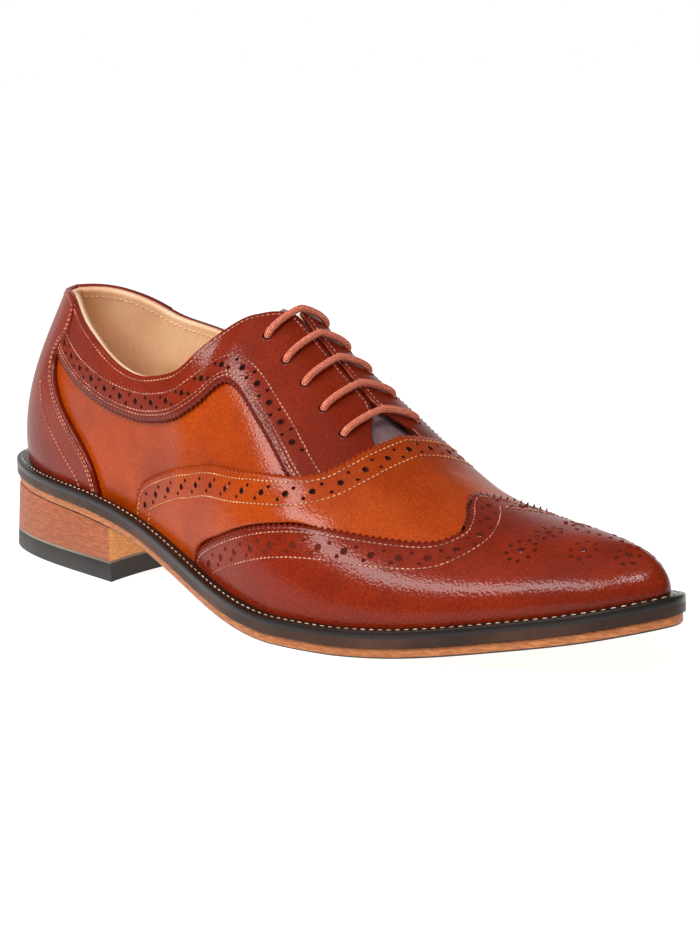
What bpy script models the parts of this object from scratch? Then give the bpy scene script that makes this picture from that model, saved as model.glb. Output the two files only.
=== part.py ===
"""Wing-tip brogue oxford for the right foot, built as a maker builds it: heel and sole first, then the upper
drawn over the last, then the pieces that lie on it. +X points to the toe, +Y to the inner side of the foot and
+Z up. Run it with blender --background --python part.py, or from Blender's text editor."""

import math

import bmesh
import bpy
import numpy as np
from mathutils import Matrix, Vector

MM = 0.001  # tables are in millimetres, the scene is in metres

# Driving dimensions, in millimetres
SOLE_LENGTH = 305.0
TOE_TIP_Y = -3.0  # the tip of the toe lies this far to the outer side
TREAD_FROM = 0.61  # the forefoot is flat on the floor between these shares of the length
TREAD_TO = 0.69
OUTSOLE_THICK = 3.2
MIDSOLE_THICK = 2.5
WELT_THICK = 2.4
SEAT_GAP = 0.3  # between pieces that touch
WALL = 2.0  # leather and lining of the upper
QUARTER_DROP = 1.6  # the tables give the overlaid surface, and the bare quarters lie this far under it
OVERLAY_GAP = 0.6
INSOLE_THICK = 2.2
INSOLE_CLEARANCE = 1.2  # between its edge and the upper
INSOLE_TOE_TURN = 0.9  # it stops short of the point of the toe
WELT_CLEARANCE = 2.0
UPPER_ROWS = 12  # faces up each rib of the upper
SOLE_COLUMNS = 41  # points along each side of the sole and the welt
TOP_PIECE_THICK = 6.3
HEEL_FRONT = 84.0
HEEL_FLARE = 4.0  # how much further back the heel stands at the floor than at the seat
BREAST_HOLLOW = 5.0
SOLE_MARGIN = 0.8  # outsole and heel stand in from the edge of the midsole and welt by this
FACING_THICK = 0.9
VAMP_THICK = 1.3
COUNTER_THICK = 1.3
WING_THICK = 1.8
TONGUE_THICK = 1.8
LACE_DIAMETER = 2.8
LACE_ARCH = 1.2  # how far a lace bar bows up over the ridge
EYELET_DIAMETER = 4.2

# Outline of the sole: share of the length from the heel, and the reach to each side of the heel-toe line
OUTLINE = (
    # share, outer, inner
    (0.020, 17.0, 16.5),
    (0.060, 25.0, 26.0),
    (0.120, 30.5, 31.5),
    (0.230, 35.0, 33.0),
    (0.330, 38.5, 30.0),
    (0.450, 46.0, 31.0),
    (0.580, 54.0, 40.5),
    (0.680, 52.0, 44.5),
    (0.780, 43.0, 40.5),
    (0.880, 30.5, 27.5),
    (0.950, 20.5, 14.5),
    (0.985, 11.5, 6.0),
)

# Underside of the outsole above the floor: heel seat, arch, tread and toe spring
SOLE_RISE = (
    # share, height
    (0.00, 25.0),
    (0.12, 22.2),
    (0.24, 20.0),
    (0.34, 15.5),
    (0.45, 7.6),
    (0.56, 1.4),
    (TREAD_FROM, 0.0),
    (TREAD_TO, 0.0),
    (0.76, 1.4),
    (0.85, 5.6),
    (0.93, 10.3),
    (1.00, 15.5),
)

# Last above the feather line: where each rib of it ends, on the ankle behind the throat and on the crest before it
LAST = (
    # share of the feather line, top x, half width, crest to the inner side, height, tilt, spring, low, high
    (0.000, 25.5, 0.0, 1.0, 98.0, 60, 4, 0.42, 0.36),
    (0.030, 31.8, 8.8, 1.5, 98.5, 66, 5, 0.42, 0.36),
    (0.080, 42.2, 15.2, 1.5, 100.0, 71, 7, 0.42, 0.36),
    (0.160, 58.0, 20.0, 1.0, 102.5, 74, 5, 0.42, 0.36),
    (0.250, 78.0, 23.5, 0.5, 105.0, 74, 3, 0.42, 0.36),
    (0.340, 104.0, 19.5, -0.5, 106.5, 68, 0, 0.42, 0.38),
    (0.400, 123.0, 10.0, -1.0, 104.5, 44, 0, 0.42, 0.42),
    (0.450, 138.0, 0.0, -1.5, 98.8, 16, 0, 0.42, 0.52),
    (0.520, 156.0, 0.0, -2.0, 85.8, 8, 2, 0.42, 0.60),
    (0.600, 181.0, 0.0, -2.5, 67.2, 5, 6, 0.45, 0.64),
    (0.680, 205.0, 0.0, -2.0, 49.8, 3, 12, 0.50, 0.56),
    (0.760, 229.0, 0.0, 0.0, 40.2, 1, 18, 0.55, 0.51),
    (0.840, 252.0, 0.0, 2.0, 36.8, 0, 20, 0.60, 0.49),
    (0.910, 268.0, 0.0, 1.0, 36.2, 0, 20, 0.62, 0.50),
    (0.960, 278.0, 0.0, -0.4, 35.7, 0, 20, 0.62, 0.52),
    (1.000, 285.0, 0.0, -1.2, 35.4, 0, 20, 0.62, 0.54),
)
WELT_LEDGE = ((0.00, 5.2), (0.12, 4.0), (0.30, 3.8), (0.55, 5.0), (1.00, 5.6))  # share, how far the welt stands out

# Where the leather stops, as a share of the climb up each rib: topline, then the slit that the laces close
OPENING = (
    # share of the feather line, climb on the outer side, climb on the inner side
    (0.000, 0.930, 0.930),
    (0.040, 0.926, 0.905),
    (0.085, 0.914, 0.845),
    (0.125, 0.864, 0.780),
    (0.150, 0.822, 0.735),
    (0.198, 0.742, 0.675),
    (0.232, 0.682, 0.642),
    (0.275, 0.598, 0.602),
    (0.320, 0.562, 0.585),
    (0.366, 0.588, 0.612),
    (0.399, 0.642, 0.662),
    (0.420, 0.728, 0.740),
    (0.440, 0.808, 0.815),
    (0.458, 0.868, 0.872),
    (0.490, 0.948, 0.950),
    (0.520, 0.968, 0.968),
    (0.560, 0.975, 0.975),
    (0.610, 0.972, 0.972),
    (0.628, 0.930, 0.930),
    (0.638, 0.900, 0.900),
)
SLIT_END = 0.648
SLIT_BLEND = 0.004

# Edges of the pieces that lie on the upper, each from its start to its end: lower then upper edge of the piece
WING_CAP = (
    # share below, climb below, share above, climb above
    (0.453, 0.0, 0.454, 0.012),
    (0.475, 0.0, 0.463, 0.071),
    (0.515, 0.0, 0.508, 0.167),
    (0.553, 0.0, 0.550, 0.250),
    (0.597, 0.0, 0.596, 0.338),
    (0.633, 0.0, 0.634, 0.404),
    (0.665, 0.0, 0.667, 0.454),
    (0.696, 0.0, 0.699, 0.492),
    (0.722, 0.0, 0.727, 0.521),
    (0.748, 0.0, 0.757, 0.556),
    (0.768, 0.0, 0.772, 0.600),
    (0.793, 0.0, 0.780, 0.680),
    (0.832, 0.0, 0.777, 0.735),
    (0.862, 0.0, 0.772, 0.783),
    (0.888, 0.0, 0.764, 0.840),
    (0.910, 0.0, 0.755, 0.890),
    (0.932, 0.0, 0.740, 1.0),
    (0.951, 0.0, 0.800, 1.0),
    (0.970, 0.0, 0.870, 1.0),
    (0.987, 0.0, 0.940, 1.0),
    (1.000, 0.0, 1.000, 1.0),
)
VAMP = (
    (0.447, 0.0, 0.318, 0.0),
    (0.453, 0.060, 0.331, 0.117),
    (0.470, 0.110, 0.358, 0.183),
    (0.502, 0.170, 0.404, 0.254),
    (0.545, 0.258, 0.445, 0.296),
    (0.592, 0.347, 0.503, 0.367),
    (0.630, 0.414, 0.544, 0.433),
    (0.664, 0.465, 0.581, 0.500),
    (0.697, 0.504, 0.607, 0.558),
    (0.730, 0.536, 0.627, 0.637),
    (0.761, 0.600, 0.637, 0.742),
    (0.768, 0.680, 0.641, 0.830),
    (0.760, 0.780, 0.643, 0.890),
    (0.743, 0.888, 0.644, 0.950),
    (0.729, 1.0, 0.644, 1.0),
)
FACING = (
    # share below, climb below, share above; above, the facing runs to the topline and the slit
    (0.127, 0.586, 0.150),
    (0.150, 0.545, 0.165),
    (0.198, 0.467, 0.205),
    (0.259, 0.396, 0.260),
    (0.314, 0.379, 0.314),
    (0.355, 0.400, 0.358),
    (0.396, 0.442, 0.399),
    (0.427, 0.500, 0.428),
    (0.456, 0.580, 0.455),
    (0.476, 0.604, 0.490),
    (0.513, 0.604, 0.525),
    (0.550, 0.588, 0.560),
    (0.575, 0.562, 0.590),
    (0.590, 0.545, 0.602),
    (0.604, 0.575, 0.612),
    (0.619, 0.640, 0.622),
    (0.629, 0.740, 0.630),
    (0.636, 0.870, 0.637),
)
COUNTER = (
    # climb, share at the edge
    (0.000, 0.241),
    (0.090, 0.237),
    (0.180, 0.225),
    (0.275, 0.198),
    (0.380, 0.160),
    (0.500, 0.125),
    (0.600, 0.111),
    (0.660, 0.117),
    (0.730, 0.132),
    (0.900, 0.135),
)
TONGUE = (0.470, 0.500, 0.540, 0.580, 0.620, 0.665)  # shares along the crest, from its top to its foot
TONGUE_CLIMB = 0.80
EYELETS = (
    # share, climb
    (0.486, 0.825),
    (0.521, 0.830),
    (0.552, 0.833),
    (0.583, 0.824),
    (0.614, 0.812),
)


def natural_spline(xs, ys):
    """Second derivatives of the natural cubic through the points."""
    n = len(xs)
    h = np.diff(xs)
    a = np.eye(n)
    r = np.zeros(n)
    for i in range(1, n - 1):
        a[i, i - 1:i + 2] = h[i - 1], 2 * (h[i - 1] + h[i]), h[i]
        r[i] = 6 * ((ys[i + 1] - ys[i]) / h[i] - (ys[i] - ys[i - 1]) / h[i - 1])
    return np.linalg.solve(a, r)


def smooth(xs, ys, at):
    """The natural cubic through (xs, ys), read at one value or many."""
    xs = np.asarray(xs, float)
    ys = np.asarray(ys, float)
    at = np.asarray(at, float)
    m = natural_spline(xs, ys)
    i = np.clip(np.searchsorted(xs, at) - 1, 0, len(xs) - 2)
    h = xs[i + 1] - xs[i]
    p = (xs[i + 1] - at) / h
    q = (at - xs[i]) / h
    return p * ys[i] + q * ys[i + 1] + ((p**3 - p) * m[i] + (q**3 - q) * m[i + 1]) * h * h / 6


def turn_of(share):
    """Where along the side a share of the length lies, from 0 at the heel to 1 at the toe. Spaced by the cosine, so
    that both ends of an outline come out round."""
    return np.arccos(np.clip(1 - 2 * np.asarray(share, float), -1, 1)) / math.pi


def share_of(turn):
    return (1 - np.cos(math.pi * np.asarray(turn, float))) / 2


def outline_reach(turn, side):
    """Half width of the sole at a turn, on the outer side (-1) or the inner side (+1)."""
    column = 1 if side < 0 else 2
    turns = [0.0] + [float(turn_of(row[0])) for row in OUTLINE] + [1.0]
    reach = [0.0] + [row[column] for row in OUTLINE] + [side * TOE_TIP_Y]
    return smooth(turns, reach, turn)


def outline_point(turn, side, inset=0.0):
    """(x, y) on the sole's edge, or on a line set in from it."""
    step = 1e-3
    here = np.asarray(turn, float)
    x = share_of(here) * SOLE_LENGTH
    y = side * outline_reach(here, side)
    before, after = np.clip(here - step, 0, 1), np.clip(here + step, 0, 1)
    dx = (share_of(after) - share_of(before)) * SOLE_LENGTH
    dy = side * (outline_reach(after, side) - outline_reach(before, side))
    size = np.hypot(dx, dy)
    nx, ny = -side * dy / size, side * dx / size
    ends = (here <= 0) | (here >= 1)
    nx = np.where(ends, np.where(here <= 0, -1.0, 1.0), nx)
    ny = np.where(ends, 0.0, ny)
    return np.stack([x - nx * inset, y - ny * inset], -1), np.stack([nx, ny], -1)


def sole_height(x):
    """Underside of the outsole above the floor at a distance x from the heel."""
    shares, heights = zip(*SOLE_RISE)
    share = np.clip(np.asarray(x, float) / SOLE_LENGTH, 0, 1)
    height = smooth(shares, heights, share)
    return np.where((share >= TREAD_FROM) & (share <= TREAD_TO), 0.0, np.maximum(height, 0.0))


def table_column(rows, column, turn):
    return smooth([float(turn_of(r[0])) for r in rows], [r[column] for r in rows], turn)


THROAT_TURN = float(turn_of(0.45))
UPPER_FOOT = OUTSOLE_THICK + SEAT_GAP + MIDSOLE_THICK + SEAT_GAP  # over the underside of the outsole


def rib(turn, side):
    """The four control points of the last's rib at a turn, as arrays of (n, 3)."""
    turn = np.atleast_1d(np.asarray(turn, float))
    ledge = np.interp(share_of(turn), *zip(*WELT_LEDGE))
    foot_xy, out = outline_point(turn, side, ledge)
    foot = np.concatenate([foot_xy, (sole_height(foot_xy[:, 0]) + UPPER_FOOT)[:, None]], 1)
    top_x, half, crest, top_z, tilt, spring, low, high = (table_column(LAST, k, turn) for k in range(1, 9))
    closing = np.clip((THROAT_TURN - turn) / 0.03, 0, 1)
    half = np.maximum(half, 0) * closing * closing * (3 - 2 * closing)
    top = np.stack([top_x, side * half + crest, top_z], 1)
    rise = (top - foot)[:, 2]
    across = (foot - top)[:, :2]
    span = np.linalg.norm(across, axis=1)
    away = across / span[:, None]
    # at the heel the wall runs down along the outline's own normal
    blend = np.clip(turn / 0.16, 0, 1)[:, None]
    away = away * blend + out * (1 - blend)
    away /= np.linalg.norm(away, axis=1)[:, None]
    step = 1e-3
    ahead, astern = np.clip(turn + step, 0, 1), np.clip(turn - step, 0, 1)
    climb_rate = table_column(LAST, 4, ahead) - table_column(LAST, 4, astern)
    slope = climb_rate / (table_column(LAST, 1, ahead) - table_column(LAST, 1, astern))
    slope = slope * np.clip((turn - 0.30) / 0.14, 0, 1)
    tilt, spring = np.radians(tilt), np.radians(spring)
    rise_dir = np.concatenate([out * np.sin(spring)[:, None], np.cos(spring)[:, None]], 1)
    fall = -np.sin(tilt) + slope * away[:, 0] * np.cos(tilt)
    down_dir = np.concatenate([away * np.cos(tilt)[:, None], fall[:, None]], 1)
    reach = high * (span * np.cos(tilt) + rise * np.sin(tilt))
    return foot, foot + rise_dir * (low * rise)[:, None], top + down_dir * reach[:, None], top


def upper_surface(turn, climb, side):
    """A point on the outside of the upper: turn runs from heel to toe, climb from the feather line to the top."""
    turn, climb = np.broadcast_arrays(np.asarray(turn, float), np.asarray(climb, float))
    shape = turn.shape
    t, c = turn.ravel(), climb.ravel()[:, None]
    a, b, d, e = rib(t, side)
    p = a * (1 - c)**3 + b * 3 * c * (1 - c)**2 + d * 3 * c * c * (1 - c) + e * c**3
    return p.reshape(shape + (3,))


def one_sided_normal(turn, climb, side):
    e = 2e-3
    turn = np.minimum(turn, 1 - 0.03 * climb**6)  # the crest and the last rib run into each other at the toe
    t0, t1 = np.clip(turn - e, 0, 1), np.clip(turn + e, 0, 1)
    c0, c1 = np.clip(climb - e, 0, 1), np.clip(climb + e, 0, 1)
    along = upper_surface(t1, climb, side) - upper_surface(t0, climb, side)
    up = upper_surface(turn, c1, side) - upper_surface(turn, c0, side)
    n = np.cross(along, up) * -side
    return n / np.linalg.norm(n, axis=-1)[..., None]


def upper_normal(turn, climb, side):
    """Outward normal of that surface. Where the two sides meet they share one."""
    turn, climb = np.broadcast_arrays(np.asarray(turn, float), np.asarray(climb, float))
    n = one_sided_normal(turn, climb, side)
    meeting = (turn < 1e-9) | (turn > 1 - 1e-9) | ((climb > 1 - 1e-9) & (turn > THROAT_TURN))
    both = np.where(meeting[..., None], n + one_sided_normal(turn, climb, -side), n)
    return both / np.linalg.norm(both, axis=-1)[..., None]


def raised(turn, climb, side, height):
    return upper_surface(turn, climb, side) + upper_normal(turn, climb, side) * height


def opening_climb(turn, side):
    """How far up its rib the leather reaches."""
    turn = np.asarray(turn, float)
    column = 1 if side < 0 else 2
    climb = smooth([float(turn_of(r[0])) for r in OPENING], [r[column] for r in OPENING], turn)
    return np.where(turn > float(turn_of(SLIT_END - SLIT_BLEND)), 1.0, np.clip(climb, 0, 0.99))


def through_rows(rows, per_row):
    """Rows of numbers with more between them, on a curve through them all."""
    rows = np.asarray(rows, float)
    padded = np.vstack([2 * rows[0] - rows[1], rows, 2 * rows[-1] - rows[-2]])
    found = []
    for i in range(1, len(padded) - 2):
        before, a, b, after = padded[i - 1:i + 3]
        for k in range(per_row):
            u = k / per_row
            found.append(0.5 * (2 * a + (b - before) * u + (2 * before - 5 * a + 4 * b - after) * u * u
                                + (3 * a - before - 3 * b + after) * u**3))
    found.append(rows[-1])
    return np.array(found)


def between(rows, count, per_row=1):
    """Turns and climbs of a patch: a column for each row of (share, climb, share, climb), count steps high."""
    rows = through_rows(rows, per_row)
    low = np.stack([turn_of(np.clip(rows[:, 0], 0, 1)), np.clip(rows[:, 1], 0, 1)], 1)
    high = np.stack([turn_of(np.clip(rows[:, 2], 0, 1)), np.clip(rows[:, 3], 0, 1)], 1)
    u = np.linspace(0, 1, count + 1)[None, :, None]
    both = low[:, None] * (1 - u) + high[:, None] * u
    return both[..., 0], both[..., 1]


# Scene
def clear_scene():
    for obj in list(bpy.data.objects):
        bpy.data.objects.remove(obj, do_unlink=True)


def collection_of(name):
    found = bpy.data.collections.new(name)
    bpy.context.scene.collection.children.link(found)
    return found


def material_of(name, colour, roughness):
    made = bpy.data.materials.new(name)
    made.use_nodes = True
    shader = made.node_tree.nodes["Principled BSDF"]
    shader.inputs["Base Color"].default_value = (*colour, 1.0)
    shader.inputs["Roughness"].default_value = roughness
    shader.inputs["Metallic"].default_value = 0.0
    return made


def to_scene(points):
    """Millimetres from the heel's back become metres from the middle of the shoe's footprint."""
    return (np.asarray(points, float) - FRAME_SHIFT) * MM


def object_of(name, points, faces, material, parent):
    mesh = bpy.data.meshes.new(name)
    mesh.from_pydata([tuple(p) for p in to_scene(points)], [], faces)
    made = bpy.data.objects.new(name, mesh)
    made.data.materials.append(material)
    parent.objects.link(made)
    bm = bmesh.new()
    bm.from_mesh(mesh)
    bmesh.ops.remove_doubles(bm, verts=bm.verts, dist=2e-6)
    bm.to_mesh(mesh)
    bm.free()
    mesh.shade_smooth()
    mesh.set_sharp_from_angle(angle=math.radians(40))
    return made


def grid_faces(columns, rows, start, side):
    """Quads over a grid of columns by rows points, facing outwards on either side of the shoe."""
    faces = []
    for i in range(columns - 1):
        for j in range(rows - 1):
            a = start + i * rows + j
            quad = (a, a + rows, a + rows + 1, a + 1)
            faces.append(quad if side < 0 else quad[::-1])
    return faces


def sheet_points(patches, height):
    """Points and faces of an open sheet, from patches of (turns, climbs, side) at a height over the last."""
    points, faces = [], []
    for turns, climbs, side in patches:
        faces += grid_faces(turns.shape[0], turns.shape[1], len(points), side)
        points += list(raised(turns, climbs, side, height).reshape(-1, 3))
    return points, faces


def thicken(obj, thickness, offset):
    """Gives an open sheet its thickness, outwards with offset 1 and inwards with offset -1."""
    solid = obj.modifiers.new("thickness", "SOLIDIFY")
    solid.thickness = thickness * MM
    solid.offset = offset
    solid.use_even_offset = False


def slab(name, turns, insets, bottom, top, material, parent, shift=None):
    """A plate with the sole's outline, between two heights that depend on the distance from the heel."""
    points, faces = [], []
    for k, level in enumerate((bottom, top)):
        for side in (-1, 1):
            xy, _ = outline_point(turns, side, insets)
            z = level(xy[:, 0])
            if shift is not None:
                xy = xy + np.stack([shift(xy[:, 0], z), 0 * z], 1)
            points += list(np.concatenate([xy, z[:, None]], 1))
    n = len(turns)
    low_out, low_in, top_out, top_in = (k * n for k in range(4))
    for i in range(n - 1):
        faces.append((low_out + i, low_in + i, low_in + i + 1, low_out + i + 1))
        faces.append((top_out + i, top_out + i + 1, top_in + i + 1, top_in + i))
        faces.append((low_out + i, low_out + i + 1, top_out + i + 1, top_out + i))
        faces.append((low_in + i, top_in + i, top_in + i + 1, low_in + i + 1))
    faces.append((low_out + n - 1, low_in + n - 1, top_in + n - 1, top_out + n - 1))
    faces.append((low_out, top_out, top_in, low_in))
    made = object_of(name, points, faces, material, parent)
    bm = bmesh.new()
    bm.from_mesh(made.data)
    bmesh.ops.dissolve_degenerate(bm, dist=1e-6, edges=bm.edges)
    bmesh.ops.recalc_face_normals(bm, faces=bm.faces)
    bm.to_mesh(made.data)
    bm.free()
    return made


def cut(obj, cutter):
    hole = obj.modifiers.new("cut by " + cutter.name, "BOOLEAN")
    hole.operation = "DIFFERENCE"
    hole.solver = "EXACT"
    hole.object = cutter


def cylinder_cutter(name, centre, axis, radius, depth, parent, sides=16):
    bm = bmesh.new()
    bmesh.ops.create_cone(bm, cap_ends=True, segments=sides, radius1=radius * MM, radius2=radius * MM,
                          depth=depth * MM)
    mesh = bpy.data.meshes.new(name)
    bm.to_mesh(mesh)
    bm.free()
    made = bpy.data.objects.new(name, mesh)
    made.matrix_world = Matrix.Translation(Vector(to_scene(centre))) @ Vector(axis).to_track_quat(
        "Z", "Y").to_matrix().to_4x4()
    made.hide_render = True
    made.display_type = "WIRE"
    parent.objects.link(made)
    return made


def tube(name, points, diameter, material, parent):
    """A round cord along points in millimetres, with flat ends."""
    curve = bpy.data.curves.new(name, "CURVE")
    curve.dimensions = "3D"
    curve.bevel_depth = diameter / 2 * MM
    curve.bevel_resolution = 2
    curve.use_fill_caps = True
    spline = curve.splines.new("POLY")
    spline.points.add(len(points) - 1)
    for spot, point in zip(spline.points, to_scene(points)):
        spot.co = (*point, 1.0)
    made = bpy.data.objects.new(name, curve)
    curve.materials.append(material)
    parent.objects.link(made)
    return made


SOLE_TURNS = np.unique(np.round(np.concatenate([np.linspace(0, 1, SOLE_COLUMNS), turn_of([TREAD_FROM, 0.65, TREAD_TO])]), 5))
WIDEST = [outline_point(SOLE_TURNS, side)[0][:, 1] for side in (-1, 1)]
FRAME_SHIFT = np.array([(SOLE_LENGTH + SOLE_MARGIN - HEEL_FLARE) / 2, (WIDEST[0].min() + WIDEST[1].max()) / 2, 0.0])
SIDES = ((-1, "outer"), (1, "inner"))


def outsole_top(x):
    return sole_height(x) + OUTSOLE_THICK


def midsole_bottom(x):
    return outsole_top(x) + SEAT_GAP


def midsole_top(x):
    return midsole_bottom(x) + MIDSOLE_THICK


def make_sole(paints, parts, tools):
    slab("outsole", SOLE_TURNS, SOLE_MARGIN, sole_height, outsole_top, paints["outsole_leather"], parts)
    slab("midsole", SOLE_TURNS, 0.0, midsole_bottom, midsole_top, paints["black_edge"], parts)
    heel_turns = np.linspace(0, float(turn_of(HEEL_FRONT / SOLE_LENGTH)), 15)
    seat = float(sole_height(0.0))

    def flare(x, z):
        return -HEEL_FLARE * np.clip(1 - x / HEEL_FRONT, 0, 1) * np.clip(1 - z / seat, 0, 1)

    block = slab("heel_block", heel_turns, SOLE_MARGIN, lambda x: np.full(len(x), TOP_PIECE_THICK + SEAT_GAP),
                 lambda x: sole_height(x) - SEAT_GAP, paints["stacked_heel"], parts, flare)
    piece = slab("heel_top_piece", heel_turns, SOLE_MARGIN, lambda x: np.zeros(len(x)),
                 lambda x: np.full(len(x), TOP_PIECE_THICK), paints["black_rubber"], parts, flare)
    breast = np.stack([outline_point(float(turn_of(HEEL_FRONT / SOLE_LENGTH)), side)[0] for side in (-1, 1)])
    half = (breast[1, 1] - breast[0, 1]) / 2
    radius = (half**2 + BREAST_HOLLOW**2) / (2 * BREAST_HOLLOW)
    centre = (HEEL_FRONT - BREAST_HOLLOW + radius, breast[:, 1].mean(), 10.0)
    hollow = cylinder_cutter("heel_breast_cutter", centre, (0, 0, 1), radius, 60.0, tools, 96)
    cut(block, hollow)
    cut(piece, hollow)


def welt_ring(paints, parts):
    """The strip that lies round the foot of the upper, on the midsole."""
    turns = np.linspace(0, 1, SOLE_COLUMNS)
    points, faces = [], []
    loop = [(t, -1) for t in turns] + [(t, 1) for t in turns[-2:0:-1]]
    for turn, side in loop:
        ledge = float(np.interp(share_of(turn), *zip(*WELT_LEDGE)))
        edge = outline_point(turn, side)[0]
        seam = outline_point(turn, side, ledge - WELT_CLEARANCE)[0]
        low, high = (float(midsole_top(edge[0])) + SEAT_GAP, float(midsole_top(edge[0])) + SEAT_GAP + WELT_THICK)
        inner_low = float(midsole_top(seam[0])) + SEAT_GAP
        points += [(*edge, low), (*edge, high), (*seam, inner_low + WELT_THICK), (*seam, inner_low)]
    n = len(loop)
    for i in range(n):
        a, b = 4 * i, 4 * ((i + 1) % n)
        for k in range(4):
            m = (k + 1) % 4
            faces.append((a + k, b + k, b + m, a + m))
    made = object_of("welt", points, faces, paints["black_edge"], parts)
    bm = bmesh.new()
    bm.from_mesh(made.data)
    bmesh.ops.recalc_face_normals(bm, faces=bm.faces)
    bm.to_mesh(made.data)
    bm.free()


def make_upper(paints, parts):
    """The hollow upper: one sheet over the last, open at the topline, the slit and underneath."""
    shares = [0.0, 0.01, 0.04, 0.085, 0.125, 0.16, 0.198, 0.232, 0.275, 0.32, 0.36, 0.395, 0.42, 0.44, 0.458,
              0.475, 0.49, 0.52, 0.55, 0.58, 0.61, 0.628, 0.638, SLIT_END, 0.67, 0.70, 0.73, 0.76, 0.79, 0.82, 0.85,
              0.88, 0.905, 0.93, 0.95, 0.968, 0.986, 1.0]
    turns = turn_of(np.array(shares))
    patches = []
    for side, _ in SIDES:
        climbs = opening_climb(turns, side)[:, None] * np.linspace(0, 1, UPPER_ROWS + 1)[None, :]
        patches.append((np.broadcast_to(turns[:, None], climbs.shape), climbs, side))
    points, faces = sheet_points(patches, -QUARTER_DROP)
    made = object_of("upper", points, faces, paints["tan_calf"], parts)
    thicken(made, WALL, -1)
    return made


def overlay(name, patches, thickness, paint, parts):
    points, faces = sheet_points(patches, OVERLAY_GAP - QUARTER_DROP)
    made = object_of(name, points, faces, paint, parts)
    thicken(made, thickness, 1)
    return made


def make_overlays(paints, parts):
    """The pieces that lie on the upper. Returns the two facings, which the eyelets go through."""
    found = {}
    overlay("wing_cap", [(*between(WING_CAP, 6, 2), side) for side, _ in SIDES], WING_THICK, paints["brown_calf"],
            parts)
    overlay("vamp", [(*between(VAMP, 5), side) for side, _ in SIDES], VAMP_THICK, paints["tan_calf"], parts)
    for side, name in SIDES:
        rows = through_rows(FACING, 2)
        above = np.array([opening_climb(turn_of(share), side) for share in rows[:, 2]])
        rows = np.concatenate([rows, above[:, None]], 1)
        found[name] = overlay("facing_" + name, [(*between(rows, 5), side)], FACING_THICK, paints["brown_calf"],
                              parts)
    levels = np.linspace(0, 1, 11)
    patches = []
    for side, _ in SIDES:
        steps = np.linspace(0, 1, 8)
        turns = np.zeros((len(steps), len(levels)))
        climbs = np.zeros_like(turns)
        climb_at, share_at = zip(*COUNTER)
        for j, level in enumerate(levels):
            for i, step in enumerate(steps):
                edge = float(turn_of(np.interp(level * climb_at[-1], climb_at, share_at)))
                turns[i, j] = edge * step
                climbs[i, j] = level * float(opening_climb(turns[i, j], side))
        patches.append((turns, climbs, side))
    overlay("heel_counter", patches, COUNTER_THICK, paints["brown_calf"], parts)
    return found


def make_tongue(paints, parts):
    shares = np.interp(np.linspace(0, 1, 11), np.linspace(0, 1, len(TONGUE)), TONGUE)
    patches = []
    for side, _ in SIDES:
        climbs = np.linspace(TONGUE_CLIMB, 1, 5)[None, :] + 0 * shares[:, None]
        patches.append((turn_of(shares)[:, None] + 0 * climbs, climbs, side))
    points, faces = sheet_points(patches, -QUARTER_DROP - WALL - OVERLAY_GAP)
    made = object_of("tongue", points, faces, paints["tongue_calf"], parts)
    thicken(made, TONGUE_THICK, -1)


def make_insole(paints, parts):
    turns = np.linspace(0, INSOLE_TOE_TURN, 31)
    ledge = np.interp(share_of(turns), *zip(*WELT_LEDGE))

    def low(x):
        return midsole_top(x) + SEAT_GAP

    def high(x):
        return low(x) + INSOLE_THICK

    slab("insole", turns, ledge + QUARTER_DROP + WALL + INSOLE_CLEARANCE, low, high, paints["beige_lining"], parts)


def eyelet_spots(row):
    """Where the cord crosses at one pair of eyelets: position and outward direction on each side."""
    share, climb = EYELETS[row]
    turn = float(turn_of(share))
    return [(raised(turn, climb, side, -QUARTER_DROP), upper_normal(turn, climb, side)) for side, _ in SIDES]


def make_laces(paints, parts):
    """Five bars of cord, each from its outer to its inner eyelet over the facings."""
    for row, (share, climb) in enumerate(EYELETS):
        turn = float(turn_of(share))
        lift = OVERLAY_GAP - QUARTER_DROP + FACING_THICK + SEAT_GAP + LACE_DIAMETER / 2
        points = []
        for side, step in ((-1, 1), (1, -1)):
            climbs = np.linspace(climb, 1.0, 7)[::step]
            arch = LACE_ARCH * np.clip((climbs - climb) / (1 - climb), 0, 1)**0.8
            stretch = [raised(turn, c, side, lift + a) for c, a in zip(climbs, arch)]
            points += stretch if side < 0 else stretch[1:]
        tube(f"lace_bar_{row + 1}", np.array(points), LACE_DIAMETER, paints["lace_cord"], parts)


def cut_eyelets(upper, facings, tools):
    for row in range(len(EYELETS)):
        for (spot, out), (side, name) in zip(eyelet_spots(row), SIDES):
            hole = cylinder_cutter(f"eyelet_cutter_{name}_{row + 1}", spot, out, EYELET_DIAMETER / 2, 12.0, tools, 12)
            cut(upper, hole)
            cut(facings[name], hole)


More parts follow.
